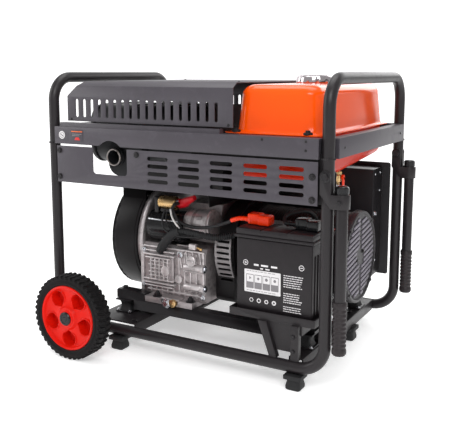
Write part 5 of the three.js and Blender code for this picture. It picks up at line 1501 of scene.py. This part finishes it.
# ---------------------------------------------------------------- control box
def control_box():
    piece("control_case", "root", (drawn_from("control_box", 0.8), BLACK_PAINT), replaces=["control_box"])
    b = place("control_panel")
    panel = plate("xz", (b.y0, b.y1), rounded((b.x0, b.x1), (b.z0, b.z1), 6), edge=0.5)
    piece("control_front", "root", (panel, BLACK_PAINT), replaces=["control_panel"])
    case = place("control_box")
    heads = [screw("y", FAR, (x, b.y1, z), 3.4) for x in (b.x0 + 10, b.x1 - 10)
             for z in (b.z0 + 10, b.z1 - 10)]
    heads += [screw("x", FAR, (case.x1, y, z), 3.6) for y, z in
              ((case.y0 + 16, case.z1 - 14), (case.y1 - 14, case.z1 - 14), (case.y1 - 16, case.z1 - 62),
               (case.y0 + 30, case.z0 + 40))]
    heads += [bolt("x", FAR, (case.x1, case.y0 + 18, case.z1 - 120), 5, 4)]
    piece("control_screws", "root", (merged(*heads), PLATE_STEEL))
    control_fittings(b.y1)


def meter(y):
    """A framed meter with its needle and seven ticks, on the panel's face at y."""
    frame_edge = rounded(engine_x(66, 118), (300, 340), 4)
    window = rounded(engine_x(72, 112), (306, 334), 2)
    needle = block(engine_x(91, 92.4), (y + 1.2, y + 1.9), (309, 328), 0.2)
    pivot = (92 + OFFSET, y, 309)
    parts = [(plate("xz", (y, y + 5), frame_edge, [window], edge=0.8), BLACK_PLASTIC),
             (block(engine_x(71, 113), (y, y + 1.2), (305, 335), 0.2), WHITE_INK),
             (rotated(needle, "y", 24, pivot), RED_INK)]
    for i in range(7):
        tick = block(engine_x(91.4, 92.6), (y + 1.1, y + 1.6), (327, 331), 0.1)
        parts.append((rotated(tick, "y", -36 + 12 * i, pivot), GREY_INK))
    return parts


def power_socket(centre, y):
    """A round socket with three brass slots."""
    profile = [(y + 4, 21), (y + 7.5, 21), (y + 8.5, 19.5), (y + 8.5, 17), (y + 3, 16.4), (y + 3, 2)]
    parts = [(rod("y", 25, (y, y + 5), centre, 48, 1.5), BLACK_PLASTIC),
             (turned("y", centre, profile, 48), SHINY_PLASTIC)]
    for i in range(3):
        a, b = on_circle(centre, 8, 90 + 120 * i)
        parts.append((block((a - 1, a + 1), (y + 2.6, y + 3.6), (b - 3, b + 3), 0.4), BRASS))
    return parts


def weld_terminal(name, plastic, y):
    """A square plate, a coloured collar and a brass stud."""
    t = place(name)
    centre = (t.x, t.z)
    base = plate("xz", (y, y + 3), rounded((t.x - 25, t.x + 25), (t.z - 25, t.z + 25), 6), edge=0.8)
    profile = [(t.y0, 17), (t.y0 + 12, 17), (t.y0 + 13.5, 15.5), (t.y0 + 13.5, 8), (t.y0 + 5, 7)]
    stud = turned("y", centre, [(t.y0 + 4, 6), (t.y1 - 1, 5.8), (t.y1, 4.6), (t.y1, 0)], 32)
    piece(name + "_socket", "root", (base, BLACK_PLASTIC), (turned("y", centre, profile, 48), plastic),
          (stud, BRASS), replaces=[name])


def control_fittings(y):
    """Meter, sockets, weld terminals, dial marks, the breaker's frame and the key's collar."""
    parts = meter(y)
    for x in (180, 250):
        parts += power_socket((x + OFFSET, 320), y)
    weld_terminal("weld_terminal_positive", RED_PLASTIC, y)
    weld_terminal("weld_terminal_negative", SHINY_PLASTIC, y)
    dial, switch, key = place("current_knob"), place("breaker_lever"), place("ignition_key")
    for i in range(11):
        mark = block((dial.x + 23, dial.x + 28), (y, y + 0.4), (dial.z - 0.6, dial.z + 0.6), 0.1)
        parts.append((rotated(mark, "y", 27 * i - 225, (dial.x, y, dial.z)), WHITE_INK))
    edge, gap = (rounded((switch.x - x, switch.x + x), (switch.z - z, switch.z + z), corner)
                 for x, z, corner in ((20, 24, 3), (10, 14, 1.5)))
    parts.append((plate("xz", (y, y + 4), edge, [gap], edge=0.7), BLACK_PLASTIC))
    collar = turned("y", (key.x, key.z), [(y, 16), (y + 2, 15.6), (y + 3, 14), (y + 3, 11)], 40)
    parts.append((collar, CHROME))
    piece("control_fittings", "root", *parts)
    moving_controls(dial, switch, key)


def moving_controls(dial, switch, key):
    """A fluted dial with its pointer, the breaker's toggle and the start key."""
    c = (dial.x, dial.z)
    rings = []
    for along, radius, flute in [(0, 18, 0), (1, 19, 0), (5, 19, 0), (6.4, 16.5, 0), (7, 15, 1), (18, 14, 1),
                                 (20, 12.6, 0.4), (20.2, 4, 0)]:
        ring = []
        for i in range(72):
            a = 2 * math.pi * i / 72
            r = radius * (1 - 0.05 * flute * (0.5 + 0.5 * math.cos(18 * a)))
            ring.append((c[0] + r * math.cos(a), dial.y0 + along, c[1] + r * math.sin(a)))
        rings.append(ring)
    pointer = block((dial.x - 1.1, dial.x + 1.1), (dial.y0 + 19.6, dial.y0 + 21), (dial.z + 3, dial.z + 12.5),
                    0.4)
    piece("current_dial_knob", "current_dial", (skinned(rings), BLACK_PLASTIC), (pointer, WHITE_INK),
          replaces=["current_knob"])
    toggle = merged(rod("x", 5, (switch.x0, switch.x1), (switch.y0 + 5, switch.z), 24, 0.5),
                    block((switch.x - 6, switch.x + 6), (switch.y0 + 4, switch.y1),
                          (switch.z - 3, switch.z + 3), 1.4, 3))
    piece("breaker_toggle", "breaker", (toggle, SHINY_PLASTIC), replaces=["breaker_lever"])
    barrel = rod("y", 10, (key.y0, key.y0 + 4), (key.x, key.z), 36, 0.8)
    outline = rounded((key.y0 + 3, key.y1), (key.z - 10, key.z + 10), 7)
    hole = arc((key.y1 - 6, key.z + 4), 2, 0, 337.5, 15)
    bow = plate("yz", (key.x - 1.6, key.x + 1.6), outline, [hole], edge=0.5)
    piece("start_key", "key", (barrel, CHROME), (bow, SHINY_PLASTIC), replaces=["ignition_key"])


# ---------------------------------------------------------------- the stage
CAMERA_YAW = math.radians(29.4745)
CAMERA_PITCH = math.radians(-8.0853)


def stage():
    """A white paper sweep: flat under the machine, then curving up far behind it."""
    reach, bend, wide = 7.0, 2.0, 9.0
    line = [(-reach, 0.0), (reach, 0.0)]
    line += [(reach + bend * math.sin(a), bend * (1 - math.cos(a)))
             for a in (math.radians(9 * i) for i in range(1, 11))]
    line.append((reach + bend, 8.0))
    shape = bmesh.new()
    rows = [[shape.verts.new((side * wide, y, z)) for side in (-1, 1)] for y, z in line]
    for low, high in zip(rows, rows[1:]):
        shape.faces.new((low[0], low[1], high[1], high[0]))
    mesh = mesh_of(shape, "floor")
    mesh.materials.append(pale_floor())
    mesh.shade_smooth()
    floor = linked("floor", mesh)
    floor.location.z = cad_box[0][2] - 0.0005
    floor.rotation_euler.z = CAMERA_YAW


def soft_light(name, location, size, watts):
    """A soft lamp aimed at the middle of the machine."""
    light = bpy.data.lights.new(name, "AREA")
    light.shape, light.size, light.size_y = "RECTANGLE", size[0], size[1]
    light.energy = watts
    lamp = linked(name, light)
    lamp.location = location
    lamp.rotation_euler = (Vector((0, 0, 0.35)) - Vector(location)).to_track_quat("-Z", "Y").to_euler()


def studio():
    world = bpy.data.worlds.new("white_studio")
    world.use_nodes = True
    world.node_tree.nodes["Background"].inputs[0].default_value = (1, 1, 1, 1)
    world.node_tree.nodes["Background"].inputs[1].default_value = 0.5
    bpy.context.scene.world = world
    soft_light("key_light", (1.2, -2.2, 2.2), (1.6, 1.2), 44)
    soft_light("left_light", (-2.4, -1.2, 1.3), (1.0, 1.6), 22)
    soft_light("top_light", (0.0, 0.2, 2.6), (2.0, 1.4), 34)
    soft_light("rear_light", (0.6, 2.4, 1.6), (2.0, 1.2), 16)
    bpy.context.scene.view_settings.view_transform = "Standard"


def camera():
    """Seen from the near right, a little above the tank, with the lens shifted down."""
    data = bpy.data.cameras.new("camera")
    data.sensor_width = 36
    data.lens = 57.4
    data.shift_y = -0.0839
    data.clip_end = 40
    made = linked("camera", data)
    made.location = (0.9151 + OFFSET * MM, -1.6481, 0.6937)
    yaw, pitch = CAMERA_YAW, CAMERA_PITCH
    ahead = Vector((-math.sin(yaw) * math.cos(pitch), math.cos(yaw) * math.cos(pitch), math.sin(pitch)))
    made.rotation_euler = ahead.to_track_quat("-Z", "Y").to_euler()
    bpy.context.scene.camera = made


def build():
    camera()
    hoop(-1, "left_hoop")
    hoop(1, "right_hoop")
    upper_rails()
    rail_badge()
    cross_members()
    for name in ("foot_near_left", "foot_near_right", "foot_far_left", "foot_far_right"):
        rubber_foot(name)
    for name in ("near_left", "near_right", "far_left", "far_right"):
        isolator("isolator_" + name)
    subframe()
    side_panel()
    heat_shield()
    fuel_tank()
    fuel_cap()
    fuel_valve()
    for name, side in (("near", NEAR), ("far", FAR)):
        wheel(name, side)
        wheel_bracket(name, side)
        fold_handle(name, side)
    battery_case()
    battery_lid()
    battery_tray()
    terminal_clamp("positive_cover", RED_PLASTIC)
    terminal_clamp("negative_cover", SHINY_PLASTIC)
    cables()
    crankcase()
    cylinder_and_head()
    fan_housing()
    starter()
    oil_filler()
    crankshaft()
    muffler()
    shade_sheets_and_shroud()
    intake()
    alternator()
    control_box()
    stage()
    studio()


build()
